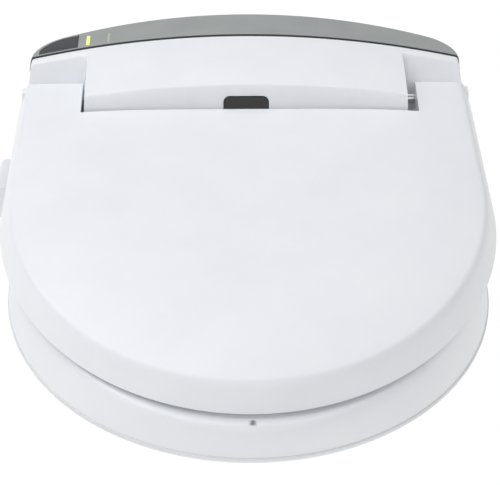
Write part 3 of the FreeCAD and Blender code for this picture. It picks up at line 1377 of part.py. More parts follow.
GLAND_FLANGE_R = 10.5
bend, bend_y, _ = rear_bend(s.housing_half, s.rear_reach, s.rear_bow, s.rear_corner)
wall_y = bend_y + math.sqrt(bend**2 - (s.cord_x - GLAND_FLANGE_R) ** 2)
GLAND_Y = f"rear_reach - {s.rear_reach - wall_y:.3f}"  # where the wall stands furthest out
gland = [
    rod("GlandTube", f"{GLAND_R}", "16.8", ("cord_x", f"{GLAND_Y} - 16.6", "cord_z"), "Y"),
    rod("GlandFlange", f"{GLAND_FLANGE_R}", "2.6", ("cord_x", f"{GLAND_Y} + 0.1", "cord_z"), "Y"),
    rod("GlandSleeve", "6.5", "14", ("cord_x", GLAND_Y, "cord_z"), "Y"),
]
gland_bore = rod("GlandBore", "cord_bore_r", "60", ("cord_x", f"{GLAND_Y} - 30", "cord_z"), "Y")
node(cut("CordGland", fuse("GlandBody", *gland), gland_bore), "cord_gland")

# ---------------------------------------------------------------- side pod

pod_out = s.housing_half + s.pod_wide
POD_X = "-housing_half - pod_wide"
pod_at = (POD_X, "pod_front", "pod_low")
pod_in = "pod_wide - 3.5"
shell = box("PodBlock", pod_at, (pod_in, "pod_long", "pod_high"))


def pod_edge(edge):
    """Picks the outer face's long edges and upright edges."""
    for v in edge.Vertexes:
        if v.Point.x > -pod_out + 0.01:
            return False
    return True


shell = fillet("PodRounded", shell, s.pod_round * 0.85, pod_edge)
core = box(
    "PodCore", (f"{POD_X} + 2.4", "pod_front + 2.4", "pod_low + 2.4"),
    ("pod_wide + 20", "pod_long - 4.8", "pod_high - 4.8"),
)
core = fillet("PodCoreRounded", core, s.pod_round * 0.6,
              lambda e: all(v.Point.x < -pod_out + 3 for v in e.Vertexes))
BUTTONS = [("rear", "pod_front + pod_long * 0.7"), ("front", "pod_front + pod_long * 0.3")]
POD_Z = "pod_low + pod_high / 2"
holes = [
    rod(f"PodHole_{word}", "button_r + free_gap", "10", (f"{POD_X} - 3", y, POD_Z), "X")
    for word, y in BUTTONS
]
node(cut("PodShell", shell, core, *holes), "pod_shell")
for word, y in BUTTONS:
    cap_at = (f"{POD_X} - button_proud", y, POD_Z)
    skirt_at = (f"{POD_X} + 3.2", y, POD_Z)
    cap = rod(f"ButtonCap_{word}", "button_r", "3.4 + button_proud", cap_at, "X")
    skirt = rod(f"ButtonSkirt_{word}", "button_r + 1.6", "1.4", skirt_at, "X")
    node(fuse(f"Button_{word}", cap, skirt), f"pod_button_{word}")
switches = [box("PodBoardPlate", (f"{POD_X} + 7.4", "pod_front + 4", "pod_low + 4"),
                ("1.6", "pod_long - 8", "pod_high - 8"))]
switches += [
    box(f"PodSwitch_{word}", (f"{POD_X} + 6.4", y + " - 3", POD_Z + " - 3"), ("1.4", "6", "6"))
    for word, y in BUTTONS
]
node(fuse("PodBoard", *switches), "pod_board")
arm = [
    box("PodBackPlate", ("-housing_half - 3.5", "hinge_y - hump_front + 0.2", "pod_low"),
        ("3.5", "pod_front + pod_long - hinge_y + hump_front - 0.2", "18")),
    box("PodBackTongue", (f"{POD_X} + 11", "pod_front + 2.6", "pod_low + 2.6"),
        ("pod_wide - 13.5", "pod_long - 5.2", "pod_high - 5.2")),
]
node(fuse("PodBack", *arm), "pod_mount")

# ---------------------------------------------------------------- seat and lid fittings

SEAT_PADS = []
for side in (-1, 1):
    SEAT_PADS.append((side * (s.seat_half - 44), 165 - s.front_reach))
    SEAT_PADS.append((side * (s.seat_half / 2 - 22), 60 - s.front_reach))
feet = []
for n, (x, y) in enumerate(SEAT_PADS):
    foot = box(f"SeatPad{n}", (f"{x} - 9", f"{y} - 12", "0"), ("18", "24", "seat_low"))
    feet.append(fillet(f"SeatPadRounded{n}", foot, 5, runs_along("z")))
group = doc.addObject("Part::Compound", "SeatBumpers")
group.Links = feet
node(group, "seat_bumpers")


def lid_pads():
    """Four pads that fill the space between the lid's roof and the seat."""
    parts = []
    wide, slim = s.lid_half - 66.5, s.lid_half / 4 - 2
    for x, y in ((-wide, 124), (wide, 124), (-slim, 37), (slim, 37)):
        y += lid_front
        column = cylinder(6, (x, y, 0), (x, y, 120))
        roof = under(lid_top, 220, lid_front - 30, 40, s.lid_wall)
        floor = under(seat_top_at, 220, -500, -60, -s.free_gap)
        parts.append(column.common(roof).cut(floor).Solids[0])
    return Part.makeCompound(parts)


node(solid("LidBumpers", lid_pads()), "lid_bumpers")

doc.recompute()
bad = [o.Name for o in doc.Objects if "Invalid" in o.State or "Error" in o.State]
for obj in NODES:
    if obj.Shape.isNull() or not obj.Shape.isValid() or not obj.Shape.Solids:
        bad.append(obj.Label)
if bad:
    raise RuntimeError("not built: " + ", ".join(bad))

os.makedirs("parts", exist_ok=True)
for obj in NODES:
    obj.Shape.exportStep(f"parts/{obj.Label}.step")
print(len(NODES), "parts")
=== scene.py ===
import json
import math

import bmesh
import bpy
from mathutils import Matrix, Vector
from mathutils.geometry import delaunay_2d_cdt


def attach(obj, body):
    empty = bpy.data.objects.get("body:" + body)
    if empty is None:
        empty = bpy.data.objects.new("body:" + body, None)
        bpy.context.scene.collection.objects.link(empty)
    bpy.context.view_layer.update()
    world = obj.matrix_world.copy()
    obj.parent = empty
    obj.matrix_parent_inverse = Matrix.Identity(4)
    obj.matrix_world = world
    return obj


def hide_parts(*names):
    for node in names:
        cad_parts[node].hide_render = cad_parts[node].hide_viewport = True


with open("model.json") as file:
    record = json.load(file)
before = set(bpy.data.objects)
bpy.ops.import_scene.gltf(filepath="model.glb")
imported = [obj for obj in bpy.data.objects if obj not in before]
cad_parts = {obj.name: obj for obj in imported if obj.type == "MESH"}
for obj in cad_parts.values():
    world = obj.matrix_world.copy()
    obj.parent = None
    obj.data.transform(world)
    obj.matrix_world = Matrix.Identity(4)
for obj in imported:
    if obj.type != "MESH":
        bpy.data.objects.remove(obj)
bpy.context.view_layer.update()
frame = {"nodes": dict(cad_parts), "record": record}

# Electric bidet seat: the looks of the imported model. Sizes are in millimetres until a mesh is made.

NODES = frame["nodes"]
MM = 0.001


# ---------------------------------------------------------------- materials

def colour(code):
    """sRGB hex to the linear colour that a socket takes."""
    channels = [int(code[i:i + 2], 16) / 255 for i in (1, 3, 5)]
    linear = [c / 12.92 if c <= 0.04045 else ((c + 0.055) / 1.055) ** 2.4 for c in channels]
    return (*linear, 1.0)


def add(tree, kind, settings=None, sockets=None):
    """Adds a node: settings are its own properties, sockets its values or links by name or number."""
    made = tree.nodes.new(kind)
    for key, value in (settings or {}).items():
        setattr(made, key, value)
    for key, value in (sockets or {}).items():
        if isinstance(value, bpy.types.NodeSocket):
            tree.links.new(value, made.inputs[key])
        else:
            made.inputs[key].default_value = value
    return made


def two_tone(tree, factor, low, high, start=0.3, end=0.7):
    """A ramp between two hex colours."""
    made = add(tree, "ShaderNodeValToRGB", sockets={"Fac": factor})
    for stop, where, code in zip(made.color_ramp.elements, (start, end), (low, high)):
        stop.position = where
        stop.color = colour(code)
    return made.outputs["Color"]


def finish_of(name, low, high, rough, mottle_mm, grain_mm, bump_mm, stretch=(1, 1, 1), **fixed):
    """A material of two close shades mottled over mottle_mm, a range of roughness, and a grain of
    grain_mm that stands bump_mm high. stretch draws the grain out, as brushing does."""
    made = bpy.data.materials.new(name)
    made.use_nodes = True
    tree = made.node_tree
    shader = tree.nodes["Principled BSDF"]
    place = add(tree, "ShaderNodeTexCoord").outputs["Object"]
    drawn = add(tree, "ShaderNodeMapping", sockets={"Vector": place, "Scale": stretch})
    mottle = add(tree, "ShaderNodeTexNoise", sockets={
        "Vector": place, "Scale": 1 / (mottle_mm * MM), "Detail": 4.0, "Roughness": 0.6})
    grain = add(tree, "ShaderNodeTexNoise", sockets={
        "Vector": drawn.outputs["Vector"], "Scale": 1 / (grain_mm * MM), "Detail": 3.0})
    tone = two_tone(tree, mottle.outputs["Fac"], low, high)
    tree.links.new(tone, shader.inputs["Base Color"])
    spread = add(tree, "ShaderNodeMapRange", sockets={
        "Value": grain.outputs["Fac"], "From Min": 0.3, "From Max": 0.7,
        "To Min": rough[0], "To Max": rough[1]})
    tree.links.new(spread.outputs["Result"], shader.inputs["Roughness"])
    relief = add(tree, "ShaderNodeBump", sockets={
        "Height": grain.outputs["Fac"], "Strength": 1.0, "Distance": bump_mm * MM})
    tree.links.new(relief.outputs["Normal"], shader.inputs["Normal"])
    for key, value in fixed.items():
        shader.inputs[key.replace("_", " ")].default_value = value
    return made


FINISH = {
    # injection-moulded ABS from a polished mould: a clean white with a wide, soft gloss
    "white_plastic": finish_of("abs_white_gloss", "#eff1f5", "#f3f5f8", (0.34, 0.42), 60, 0.8, 0.002,
                               IOR=1.5, Coat_Weight=0.1, Coat_Roughness=0.3),
    # the same plastic from a spark-eroded mould: an even grain takes the shine off
    "white_base_plastic": finish_of("abs_white_grained", "#e2e4e7", "#e9ebed", (0.42, 0.55), 45,
                                    0.6, 0.02, IOR=1.52),
    # silver-grey paint with fine flake on ABS: satin, with a faint sparkle
    "grey_trim": finish_of("silver_paint_satin", "#a3a7a6", "#abafad", (0.34, 0.46), 30, 0.5, 0.006,
                           Metallic=0.25, IOR=1.5, Coat_Weight=0.15, Coat_Roughness=0.3),
    # smoked acrylic: nearly black and very smooth
    "smoked_window": finish_of("acrylic_smoked", "#22272a", "#2b3033", (0.06, 0.12), 15, 1.5, 0.001,
                               IOR=1.49, Coat_Weight=0.5, Coat_Roughness=0.05),
    # diffusing acrylic with a lamp behind it
    "led_lens_lit": finish_of("acrylic_diffusing_lit", "#cfe27a", "#dcea8e", (0.25, 0.35), 8, 0.6,
                              0.003, Emission_Color=colour("#c8e45a"), Emission_Strength=0.7),
    # the same lens, unlit: a pale grey green
    "led_lens_unlit": finish_of("acrylic_diffusing", "#b5c2b4", "#c0cbbe", (0.25, 0.35), 8, 0.6,
                                0.003, IOR=1.49),
    # glass-filled nylon and ABS inside the housing: dull grey with a coarse grain
    "grey_plastic": finish_of("abs_grey_moulded", "#666a6e", "#73777b", (0.45, 0.6), 25, 0.7, 0.03),
    # carbon-filled nylon: a flat black that shows its grain only at the edges
    "black_plastic": finish_of("nylon_black_moulded", "#17181a", "#222426", (0.4, 0.6), 20, 0.6, 0.03),
    # natural acetal: slightly yellow, waxy
    "acetal": finish_of("acetal_natural", "#e9e6da", "#f0ede3", (0.3, 0.4), 20, 0.8, 0.01,
                        Subsurface_Weight=0.1, Subsurface_Scale=0.002),
    # drawn and brushed steels, with the lines along X
    "steel": finish_of("steel_zinc_plated", "#b4b7ba", "#c3c6c8", (0.25, 0.42), 6, 0.25, 0.004,
                       stretch=(0.1, 1, 1), Metallic=1.0),
    "stainless": finish_of("stainless_polished", "#c4c6c7", "#d0d2d3", (0.12, 0.26), 12, 0.2, 0.002,
                           stretch=(1, 0.08, 0.08), Metallic=1.0),
    # hot-dip galvanised cans, with pale spangle
    "galvanised": finish_of("steel_galvanised", "#9fa5a9", "#c0c5c8", (0.3, 0.5), 5, 1.2, 0.006,
                            Metallic=0.95),
    # dead-soft aluminium foil, creased where it is bonded
    "aluminium_foil": finish_of("aluminium_foil", "#cfd1d3", "#dcdee0", (0.25, 0.45), 12, 6, 0.15,
                                Metallic=1.0),
    # moulded elastomers: dull, with a faint bloom
    "rubber_grey": finish_of("rubber_grey", "#85888a", "#8f9294", (0.7, 0.85), 12, 0.5, 0.03),
    "rubber_white": finish_of("rubber_white", "#dbdcda", "#e4e4e2", (0.65, 0.8), 12, 0.5, 0.02),
    # glass-epoxy board under solder mask, with blotches of copper showing through
    "circuit_green": finish_of("solder_mask_green", "#0d4a2a", "#17653a", (0.2, 0.35), 3, 0.8, 0.02),
    # extruded silicone: milky, and a little light comes through it
    "silicone_hose": finish_of("silicone_translucent", "#d4dadd", "#e0e5e7", (0.35, 0.5), 10, 0.8,
                               0.01, Transmission_Weight=0.2, IOR=1.41),
    # machined brass under dull nickel
    "brass_nickel": finish_of("nickel_on_brass", "#bcb8a8", "#c9c5b6", (0.22, 0.36), 8, 0.3, 0.004,
                              Metallic=1.0),
    # pressed carbon granules: a rough black that takes all the light
    "carbon_black": finish_of("activated_carbon", "#121212", "#2a2a2a", (0.8, 0.95), 2, 0.9, 0.12),
    # mica board: blotched tan layers with a dull sheen
    "ceramic_heater": finish_of("mica_board", "#a89c84", "#c4b79c", (0.4, 0.6), 4, 1.2, 0.04),
    # ABS tinted a pale blue grey: the buttons stand out a little from the pod
    "button_blue": finish_of("abs_pale_gloss", "#dfe4ea", "#e6eaef", (0.22, 0.3), 20, 0.8, 0.003,
                             IOR=1.52),
}
# painted shade: a near-black, dull band along the trim strip's front edge, standing in for the shadow
# line under the strip's proud edge
PAINTED_EDGE_SHADE = finish_of("strip_edge_painted_shade", "#1b1c1e", "#26272a", (0.55, 0.7), 10, 0.5, 0.01)
# infrared-passing acrylic: black to the eye, with a hard gloss
INFRARED_BLACK = finish_of("acrylic_infrared", "#0c0a10", "#110f15", (0.12, 0.2), 10, 1.0, 0.001)
SLOT_OF = {part["node"]: part["material_slot"] for part in frame["record"]["subparts"]}


def paint(thing, finish):
    thing.data.materials.clear()
    thing.data.materials.append(finish)


for node_name, node in NODES.items():
    paint(node, FINISH[SLOT_OF[node_name]])


# ---------------------------------------------------------------- sizes and the housing's surfaces

HINGE_Y, HINGE_Z = -45.0, 100.0
LID_FRONT, LID_MID, LID_NOSE, LID_HALF, LID_ARM_HALF = -449.0, -195.0, 254.0, 188.5, 186.0
LID_WALL, LID_LEAN, ARM_END = 2.8, 0.30, 13.5
NOTCH_LEFT, NOTCH_RIGHT, NOTCH_Y = -132.0, 138.0, HINGE_Y - 47.0
SEAT_MID, SEAT_NOSE, SEAT_HALF, SEAT_REAR_HALF = -203.0, 262.0, 184.0, 181.0
SEAT_REAR, SEAT_LOW, SEAT_PARTING, SEAT_LEAN, SEAT_EDGE = -93.0, 10.0, 14.5, 0.18, 0.8
HOLE_HALF, HOLE_MID, HOLE_REACH = 104.0, -261.0, 138.0
PASSAGE_HALF, PASSAGE_HIGH, PASSAGE_Y = 80.0, 51.0, -183.0
HOUSE_HALF, HOUSE_REAR, REAR_BOW, CORNER = 186.0, 52.0, 22.0, 36.0
PARTING, SIDE_DRAFT, REAR_DRAFT = 40.0, 0.125, 0.045
HUMP_HALF, HUMP_Y, SHOULDER_Y, WING_TOP = 129.0, -88.5, -29.0, 54.0
FACET_FOOT, FACET_LEAN = 110.0, 0.3833
TOP_RISE = 88  # the top's edge, above the parting


def soft_min(a, b, k):
    """The lower of two heights, blended where they are within k of each other."""
    h = max(k - abs(a - b), 0.0) / k
    return min(a, b) - h**3 * k / 6


def rolled(r, d):
    """How far a rounded edge of radius r has dropped at distance d from the edge."""
    if d >= r:
        return 0.0
    return r - math.sqrt(max(r * r - (r - max(d, 0.0)) ** 2, 0.0))


def nose_inset(x, y, half, nose, mid, rear_half, rear):
    """How far inside a D-shaped outline a point lies. Negative outside."""
    if y >= mid:
        side = half + (rear_half - half) * (y - mid) / (rear - mid)
        return side - abs(x)
    low, high = -60.0, min(half, nose) - 1.0
    for _ in range(40):
        d = (low + high) / 2
        if (x / (half - d)) ** 2 + ((y - mid) / (nose - d)) ** 2 > 1:
            high = d
        else:
            low = d
    return low


def nose_loop(inset, half, nose, mid, rear_half, rear, steps=150):
    """The D-shaped outline, inset, as a list of points."""
    points = []
    for n in range(steps + 1):
        a = math.pi + math.pi * n / steps
        points.append(((half - inset) * math.cos(a), mid + (nose - inset) * math.sin(a)))
    rows, across = 34, 60  # points along each side and along the rear
    side = []
    for n in range(1, rows + 1):
        t = n / rows
        side.append((half - inset + (rear_half - half) * t, mid + (rear - mid) * t))
    wide = rear_half - inset
    back = [(wide - 2 * wide * n / across, rear) for n in range(1, across)]
    return points + side + back + [(-x, y) for x, y in reversed(side)]


LID = (LID_HALF, LID_NOSE, LID_MID, LID_ARM_HALF, HINGE_Y + ARM_END)
SEAT = (SEAT_HALF, SEAT_NOSE, SEAT_MID, SEAT_REAR_HALF, SEAT_REAR)


def lid_rim(y):
    return 39.7 + 0.11 * (y - LID_FRONT)


def lid_roof(x, y):
    along = (y - LID_FRONT) / (HINGE_Y - LID_FRONT)
    reach = min(0.0, y - LID_MID) / LID_NOSE
    edge = (x / LID_HALF) ** 2 + reach**2
    return lid_rim(y) + 18 + 5.9 * along + (16 - 7.8 * along) * (1 - edge**2)


def lid_skin(x, y, wall=0.0):
    """The lid's upper face, or its lower one when wall is given."""
    d = nose_inset(x, y, *LID) - wall
    k = 15.0 if not wall else 10.0
    z = soft_min(lid_rim(y) + max(d, 0) / LID_LEAN, lid_roof(x, y) - wall, k)
    if y > HINGE_Y:
        r = ARM_END - wall
        z = min(z, HINGE_Z + math.sqrt(max(r * r - (y - HINGE_Y) ** 2, 0.0)))
    return z


def seat_skin(x, y):
    edge = (x / SEAT_HALF) ** 2 + ((y - SEAT_MID) / SEAT_NOSE) ** 2
    face = lid_rim(y) - 2.5 - 8 * (1 - edge)
    d = nose_inset(x, y, *SEAT)
    z = soft_min(SEAT_PARTING + (d - SEAT_EDGE) / SEAT_LEAN, face, 30.0)
    z = max(z, SEAT_PARTING)
    hole = hole_inset(x, y)
    return z - rolled(7, hole) - rolled(3, SEAT_REAR - y)


def hole_inset(x, y):
    """Distance outside the seat's opening. Negative inside it."""
    rho = math.hypot(x / HOLE_HALF, (y - HOLE_MID) / HOLE_REACH)
    if rho < 1e-6:
        return -HOLE_HALF
    reach = math.hypot(x, y - HOLE_MID)
    return (rho - 1) * reach / rho


def hole_loop(grow, steps=150):
    return [((HOLE_HALF + grow) * math.cos(2 * math.pi * n / steps),
             HOLE_MID + (HOLE_REACH + grow) * math.sin(2 * math.pi * n / steps))
            for n in range(steps)]


def house_bend(rise):
    """The housing's outline at a height above the parting: its half width, rear radius, the rear
    radius's centre and the corner's centre along Y, and the angle at which the two arcs meet."""
    half, rear = HOUSE_HALF - SIDE_DRAFT * rise, HOUSE_REAR - REAR_DRAFT * rise
    span = half - CORNER
    radius = (span**2 + REAR_BOW**2) / (2 * REAR_BOW)
    centre = rear - radius
    corner_y = centre + math.sqrt((radius - CORNER) ** 2 - span**2)
    return half, radius, centre, corner_y, math.atan2(corner_y - centre, span)


BENDS = {}


def house_inset(x, y, rise=0.0):
    """How far inside the housing's outline a point lies, its open front apart."""
    key = round(rise, 2)
    if key not in BENDS:
        BENDS[key] = house_bend(key)
    half, radius, centre, corner_y, turn = BENDS[key]
    x = abs(x)
    dx, dy = x - (half - CORNER), y - corner_y
    if dx > 0 and dy > 0 and math.atan2(dy, dx) < turn:
        return CORNER - math.hypot(dx, dy)
    if y > corner_y and math.atan2(y - centre, x) >= turn:
        return radius - math.hypot(x, y - centre)
    return half - x


def house_loop(inset, front, rise=0.0):
    """The housing's outline, inset, as a closed list of points. rise is a height above the
    parting, or a function that gives it at each x."""
    side, corner, rear, across = 45, 20, 50, 80  # points along each stretch
    usual_rise = 78

    def point(n, level):
        half, radius, centre, corner_y, turn = house_bend(level)
        if n < side:
            return half - inset, front + (corner_y - front) * n / side
        if n < side + corner:
            a = turn * (n - side) / corner
            r = CORNER - inset
            return half - CORNER + r * math.cos(a), corner_y + r * math.sin(a)
        a = turn + (math.pi / 2 - turn) * (n - side - corner) / rear
        return (radius - inset) * math.cos(a), centre + (radius - inset) * math.sin(a)

    right = []
    for n in range(side + corner + rear + 1):
        level = rise(point(n, usual_rise)[0]) if callable(rise) else rise
        right.append(point(n, level))
    left = [(-x, y) for x, y in reversed(right[:-1])]
    x0, x1 = left[-1][0], right[0][0]
    return right + left + [(x0 + (x1 - x0) * n / across, front) for n in range(1, across)]


def house_roof(x, y):
    return 138.7 - 0.000885 * (y - 30) ** 2 - 0.000469 * x * x


def house_skin(x, y, proud=0.0, roll=2.5):
    """The height of the housing's outside: the roof, the leaning walls, and the round between."""
    roof = house_roof(x, y) + proud
    top = roof - rolled(roll, house_inset(x, y, roof - roll - PARTING) + proud)
    if top > roof - roll + 1e-6:
        return top
    low, high = 0.0, roof - roll - PARTING
    for _ in range(14):
        middle = (low + high) / 2
        if house_inset(x, y, middle) + proud < 0:
            high = middle
        else:
            low = middle
    return PARTING + low


# ---------------------------------------------------------------- mesh helpers

def closed(points):
    count = len(points)
    return [(n, (n + 1) % count) for n in range(count)]


def raise_plan(name, loops, zone_of, heights, fill_mm, box):
    """A solid over a plan: loops are lines that the mesh follows, zone_of gives a point's zone or
    None, heights gives each zone's (top, low) functions, and fill_mm spaces the points between."""
    points, edges = [], []
    for loop in loops:
        start = len(points)
        points += [Vector(p) for p in loop]
        edges += [(start + a, start + b) for a, b in closed(loop)]
    x0, y0, x1, y1 = box
    columns, rows = int((x1 - x0) / fill_mm), int((y1 - y0) / fill_mm)
    for i in range(columns + 1):
        for j in range(rows + 1):
            x = x0 + (i + (0.5 if j % 2 else 0.0)) * fill_mm
            y = y0 + j * fill_mm
            if zone_of(x, y) is not None:
                points.append(Vector((x, y)))
    verts, _, faces = delaunay_2d_cdt(points, edges, [], 0, 1e-4)[:3]
    mesh = bmesh.new()
    made, tris, side_of = {}, [], {}

    def corner(v, zone, which):
        key = (v, zone, which)
        if key not in made:
            x, y = verts[v]
            made[key] = mesh.verts.new((x * MM, y * MM, heights[zone][which](x, y) * MM))
        return made[key]

    for face in faces:
        a, b, c = (verts[v] for v in face)
        middle = (a + b + c) / 3
        zone = zone_of(*middle)
        if zone is None or abs((b - a).cross(c - a)) < 1e-4:
            continue
        if (b - a).cross(c - a) < 0:
            face = face[::-1]
        tris.append((face, zone))
        for n in range(3):
            side_of[(face[n], face[(n + 1) % 3])] = zone
    for face, zone in tris:
        mesh.faces.new([corner(v, zone, 0) for v in face])
        mesh.faces.new([corner(v, zone, 1) for v in reversed(face)])

    def wall(a, b, upper, lower):
        ring = [corner(a, *lower), corner(b, *lower), corner(b, *upper), corner(a, *upper)]
        if max(abs(ring[0].co.z - ring[3].co.z), abs(ring[1].co.z - ring[2].co.z)) > 1e-7:
            mesh.faces.new(ring)

    for (a, b), zone in side_of.items():
        other = side_of.get((b, a))
        if other is None:
            wall(a, b, (zone, 0), (zone, 1))
        elif other != zone:
            pa, pb = verts[a], verts[b]
            x, y = (pa + pb) / 2
            if heights[zone][0](x, y) > heights[other][0](x, y) + 1e-4:
                wall(a, b, (zone, 0), (other, 0))
            if heights[zone][1](x, y) < heights[other][1](x, y) - 1e-4:
                wall(a, b, (other, 1), (zone, 1))
    bmesh.ops.remove_doubles(mesh, verts=mesh.verts, dist=2e-6)
    bmesh.ops.dissolve_degenerate(mesh, edges=mesh.edges, dist=1e-6)
    return as_object(name, mesh)


def as_object(name, mesh, smooth_deg=35):
    """A smooth-shaded object whose creases over smooth_deg are sharp."""
    limit = math.radians(smooth_deg)
    for face in mesh.faces:
        face.smooth = True
    for edge in mesh.edges:
        if len(edge.link_faces) == 2 and edge.calc_face_angle(0.0) > limit:
            edge.smooth = False
    data = bpy.data.meshes.new(name)
    mesh.to_mesh(data)
    mesh.free()
    thing = bpy.data.objects.new(name, data)
    bpy.context.scene.collection.objects.link(thing)
    return thing


def settle(thing):
    """Applies an object's modifiers by making its result a plain mesh."""
    seen = thing.evaluated_get(bpy.context.evaluated_depsgraph_get())
    data = bpy.data.meshes.new_from_object(seen)
    thing.modifiers.clear()
    old, thing.data = thing.data, data
    bpy.data.meshes.remove(old)


def bevel(thing, width, segments=3, angle=50):
    made = thing.modifiers.new("edge_break", "BEVEL")
    made.width = width * MM
    made.segments = segments
    made.limit_method = "ANGLE"
    made.angle_limit = math.radians(angle)
    made.use_clamp_overlap = True
    made.harden_normals = False
    settle(thing)


def rect(x0, y0, x1, y1, step=4.0):
    """A rectangle as a loop of points no more than step apart."""
    points = []
    corners = [(x0, y0), (x1, y0), (x1, y1), (x0, y1)]
    for (ax, ay), (bx, by) in zip(corners, corners[1:] + corners[:1]):
        count = max(1, int(math.hypot(bx - ax, by - ay) / step))
        points += [(ax + (bx - ax) * n / count, ay + (by - ay) * n / count) for n in range(count)]
    return points


def finished(thing, node, finish=None):
    """Puts a piece in the place of the CAD node that it stands for, in that node's own finish
    unless it is given another."""
    paint(thing, finish or FINISH[SLOT_OF[node]])
    body = next(b for b, names in frame["record"]["behaviour"]["bodies"].items() if node in names)
    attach(thing, body)
    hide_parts(node)


def join(thing, *others):
    """Adds other objects' meshes to a piece as separate lumps."""
    mesh = bmesh.new()
    for part in (thing, *others):
        mesh.from_mesh(part.data)
    mesh.to_mesh(thing.data)
    mesh.free()
    for part in others:
        data = part.data
        bpy.data.objects.remove(part)
        bpy.data.meshes.remove(data)


def extrusion(name, outline, low, high, along="X"):
    """A straight prism over an outline given in the plane across its length."""
    turn = {"X": lambda a, b, c: (c, a, b), "Y": lambda a, b, c: (a, c, b)}
    mesh = bmesh.new()
    ends = []
    for level in (low, high):
        spots = [turn[along](a, b, level) for a, b in outline]
        ends.append([mesh.verts.new([v * MM for v in spot]) for spot in spots])
    mesh.faces.new(ends[0])
    mesh.faces.new(ends[1])
    for n, m in closed(outline):
        mesh.faces.new([ends[0][n], ends[0][m], ends[1][m], ends[1][n]])
    bmesh.ops.recalc_face_normals(mesh, faces=mesh.faces)
    return as_object(name, mesh)


def disc(a, b, r, count=48):
    turn = 2 * math.pi / count
    return [(a + r * math.cos(turn * n), b + r * math.sin(turn * n)) for n in range(count)]


def carve(thing, cutters):
    """Cuts other objects out of a piece."""
    for cutter in cutters:
        made = thing.modifiers.new("opening", "BOOLEAN")
        made.operation = "DIFFERENCE"
        made.solver = "EXACT"
        made.object = cutter
    settle(thing)
    for cutter in cutters:
        bpy.data.objects.remove(cutter)


def broken_edges(node_name, width, angle=40, segments=2):
    """A CAD node's own form with its edges broken, as a mould leaves them."""
    mesh = bmesh.new()
    mesh.from_mesh(NODES[node_name].data)
    bmesh.ops.remove_doubles(mesh, verts=mesh.verts, dist=1e-6)
    bmesh.ops.dissolve_limit(
        mesh, angle_limit=math.radians(1), verts=mesh.verts, edges=mesh.edges, delimit=set())
    thing = as_object(node_name + "_finish", mesh)
    bevel(thing, width, segments, angle)
    finished(thing, node_name)


# ---------------------------------------------------------------- lid

REAR_END = HINGE_Y + ARM_END
ARM_OPEN = (148.8, 182.2)  # the arm's hollow, which the seat's lug turns in
OPEN_START, OPEN_END, OPEN_HIGH = HINGE_Y + 1, HINGE_Y + 12.25, 105.67
BOSS_END = 148.5


def lid_zone(x, y):
    d = nose_inset(x, y, *LID)
    if d < 0 or y > REAR_END:
        return None
    if NOTCH_LEFT < x < NOTCH_RIGHT and y > NOTCH_Y:
        return None
    if ARM_OPEN[0] < abs(x) < ARM_OPEN[1] and y > OPEN_START:
        return None if y > OPEN_END else "open"
    w = LID_WALL
    edge = d < w or (NOTCH_LEFT - w < x < NOTCH_RIGHT + w and y > NOTCH_Y - w)
    return "rim" if edge or y > REAR_END - w else "roof"


insets = (0, 1.5, 2.8, 3.6, 4.4, 5.2, 6.0, 6.8, 7.8, 9.0, 10.5, 12.5, 15.0)
lid_loops = [nose_loop(d, *LID) for d in insets]
lid_loops.append(rect(NOTCH_LEFT, NOTCH_Y, NOTCH_RIGHT, REAR_END + 8))
lid_loops.append(rect(NOTCH_LEFT - LID_WALL, NOTCH_Y - LID_WALL, NOTCH_RIGHT + LID_WALL, REAR_END + 9))
for drop in (0.3, 1.0, 2.0, LID_WALL, 4.5, 6.5, 9.0, 12.0):
    lid_loops.append(rect(-LID_ARM_HALF - 5, REAR_END - drop, LID_ARM_HALF + 5, REAR_END + 12))
for side in (-1, 1):
    x0, x1 = sorted((side * ARM_OPEN[0], side * ARM_OPEN[1]))
    lid_loops.append(rect(x0, OPEN_START, x1, OPEN_END, 2.0))
lid = raise_plan(
    "lid_shell_skin", lid_loops, lid_zone,
    {"rim": (lid_skin, lambda x, y: lid_rim(y)),
     "roof": (lid_skin, lambda x, y: lid_skin(x, y, LID_WALL)),
     "open": (lid_skin, lambda x, y: max(lid_skin(x, y, LID_WALL), OPEN_HIGH))},
    6.0, (-190, -450, 190, -30))
bevel(lid, 0.7)
bosses = []
for x0, x1 in ((-BOSS_END, NOTCH_LEFT - 0.5), (NOTCH_RIGHT + 0.5, BOSS_END)):
    bosses.append(extrusion("boss", disc(HINGE_Y, HINGE_Z, ARM_END - 4), x0, x1))
join(lid, *bosses)
finished(lid, "lid_shell")

# ---------------------------------------------------------------- seat


def in_passage(x, y, grow=0.0):
    return abs(x) < PASSAGE_HALF + grow and y > PASSAGE_Y - grow


def seat_zone(x, y):
    d = nose_inset(x, y, *SEAT)
    hole = hole_inset(x, y)
    if d < SEAT_EDGE or hole < 0 or y > SEAT_REAR:
        return None
    if in_passage(x, y):
        return "passage"
    inner = d > 4.5 and hole > 3 and y < SEAT_REAR - 3 and not in_passage(x, y, 3)
    return "inner" if inner else "wall"


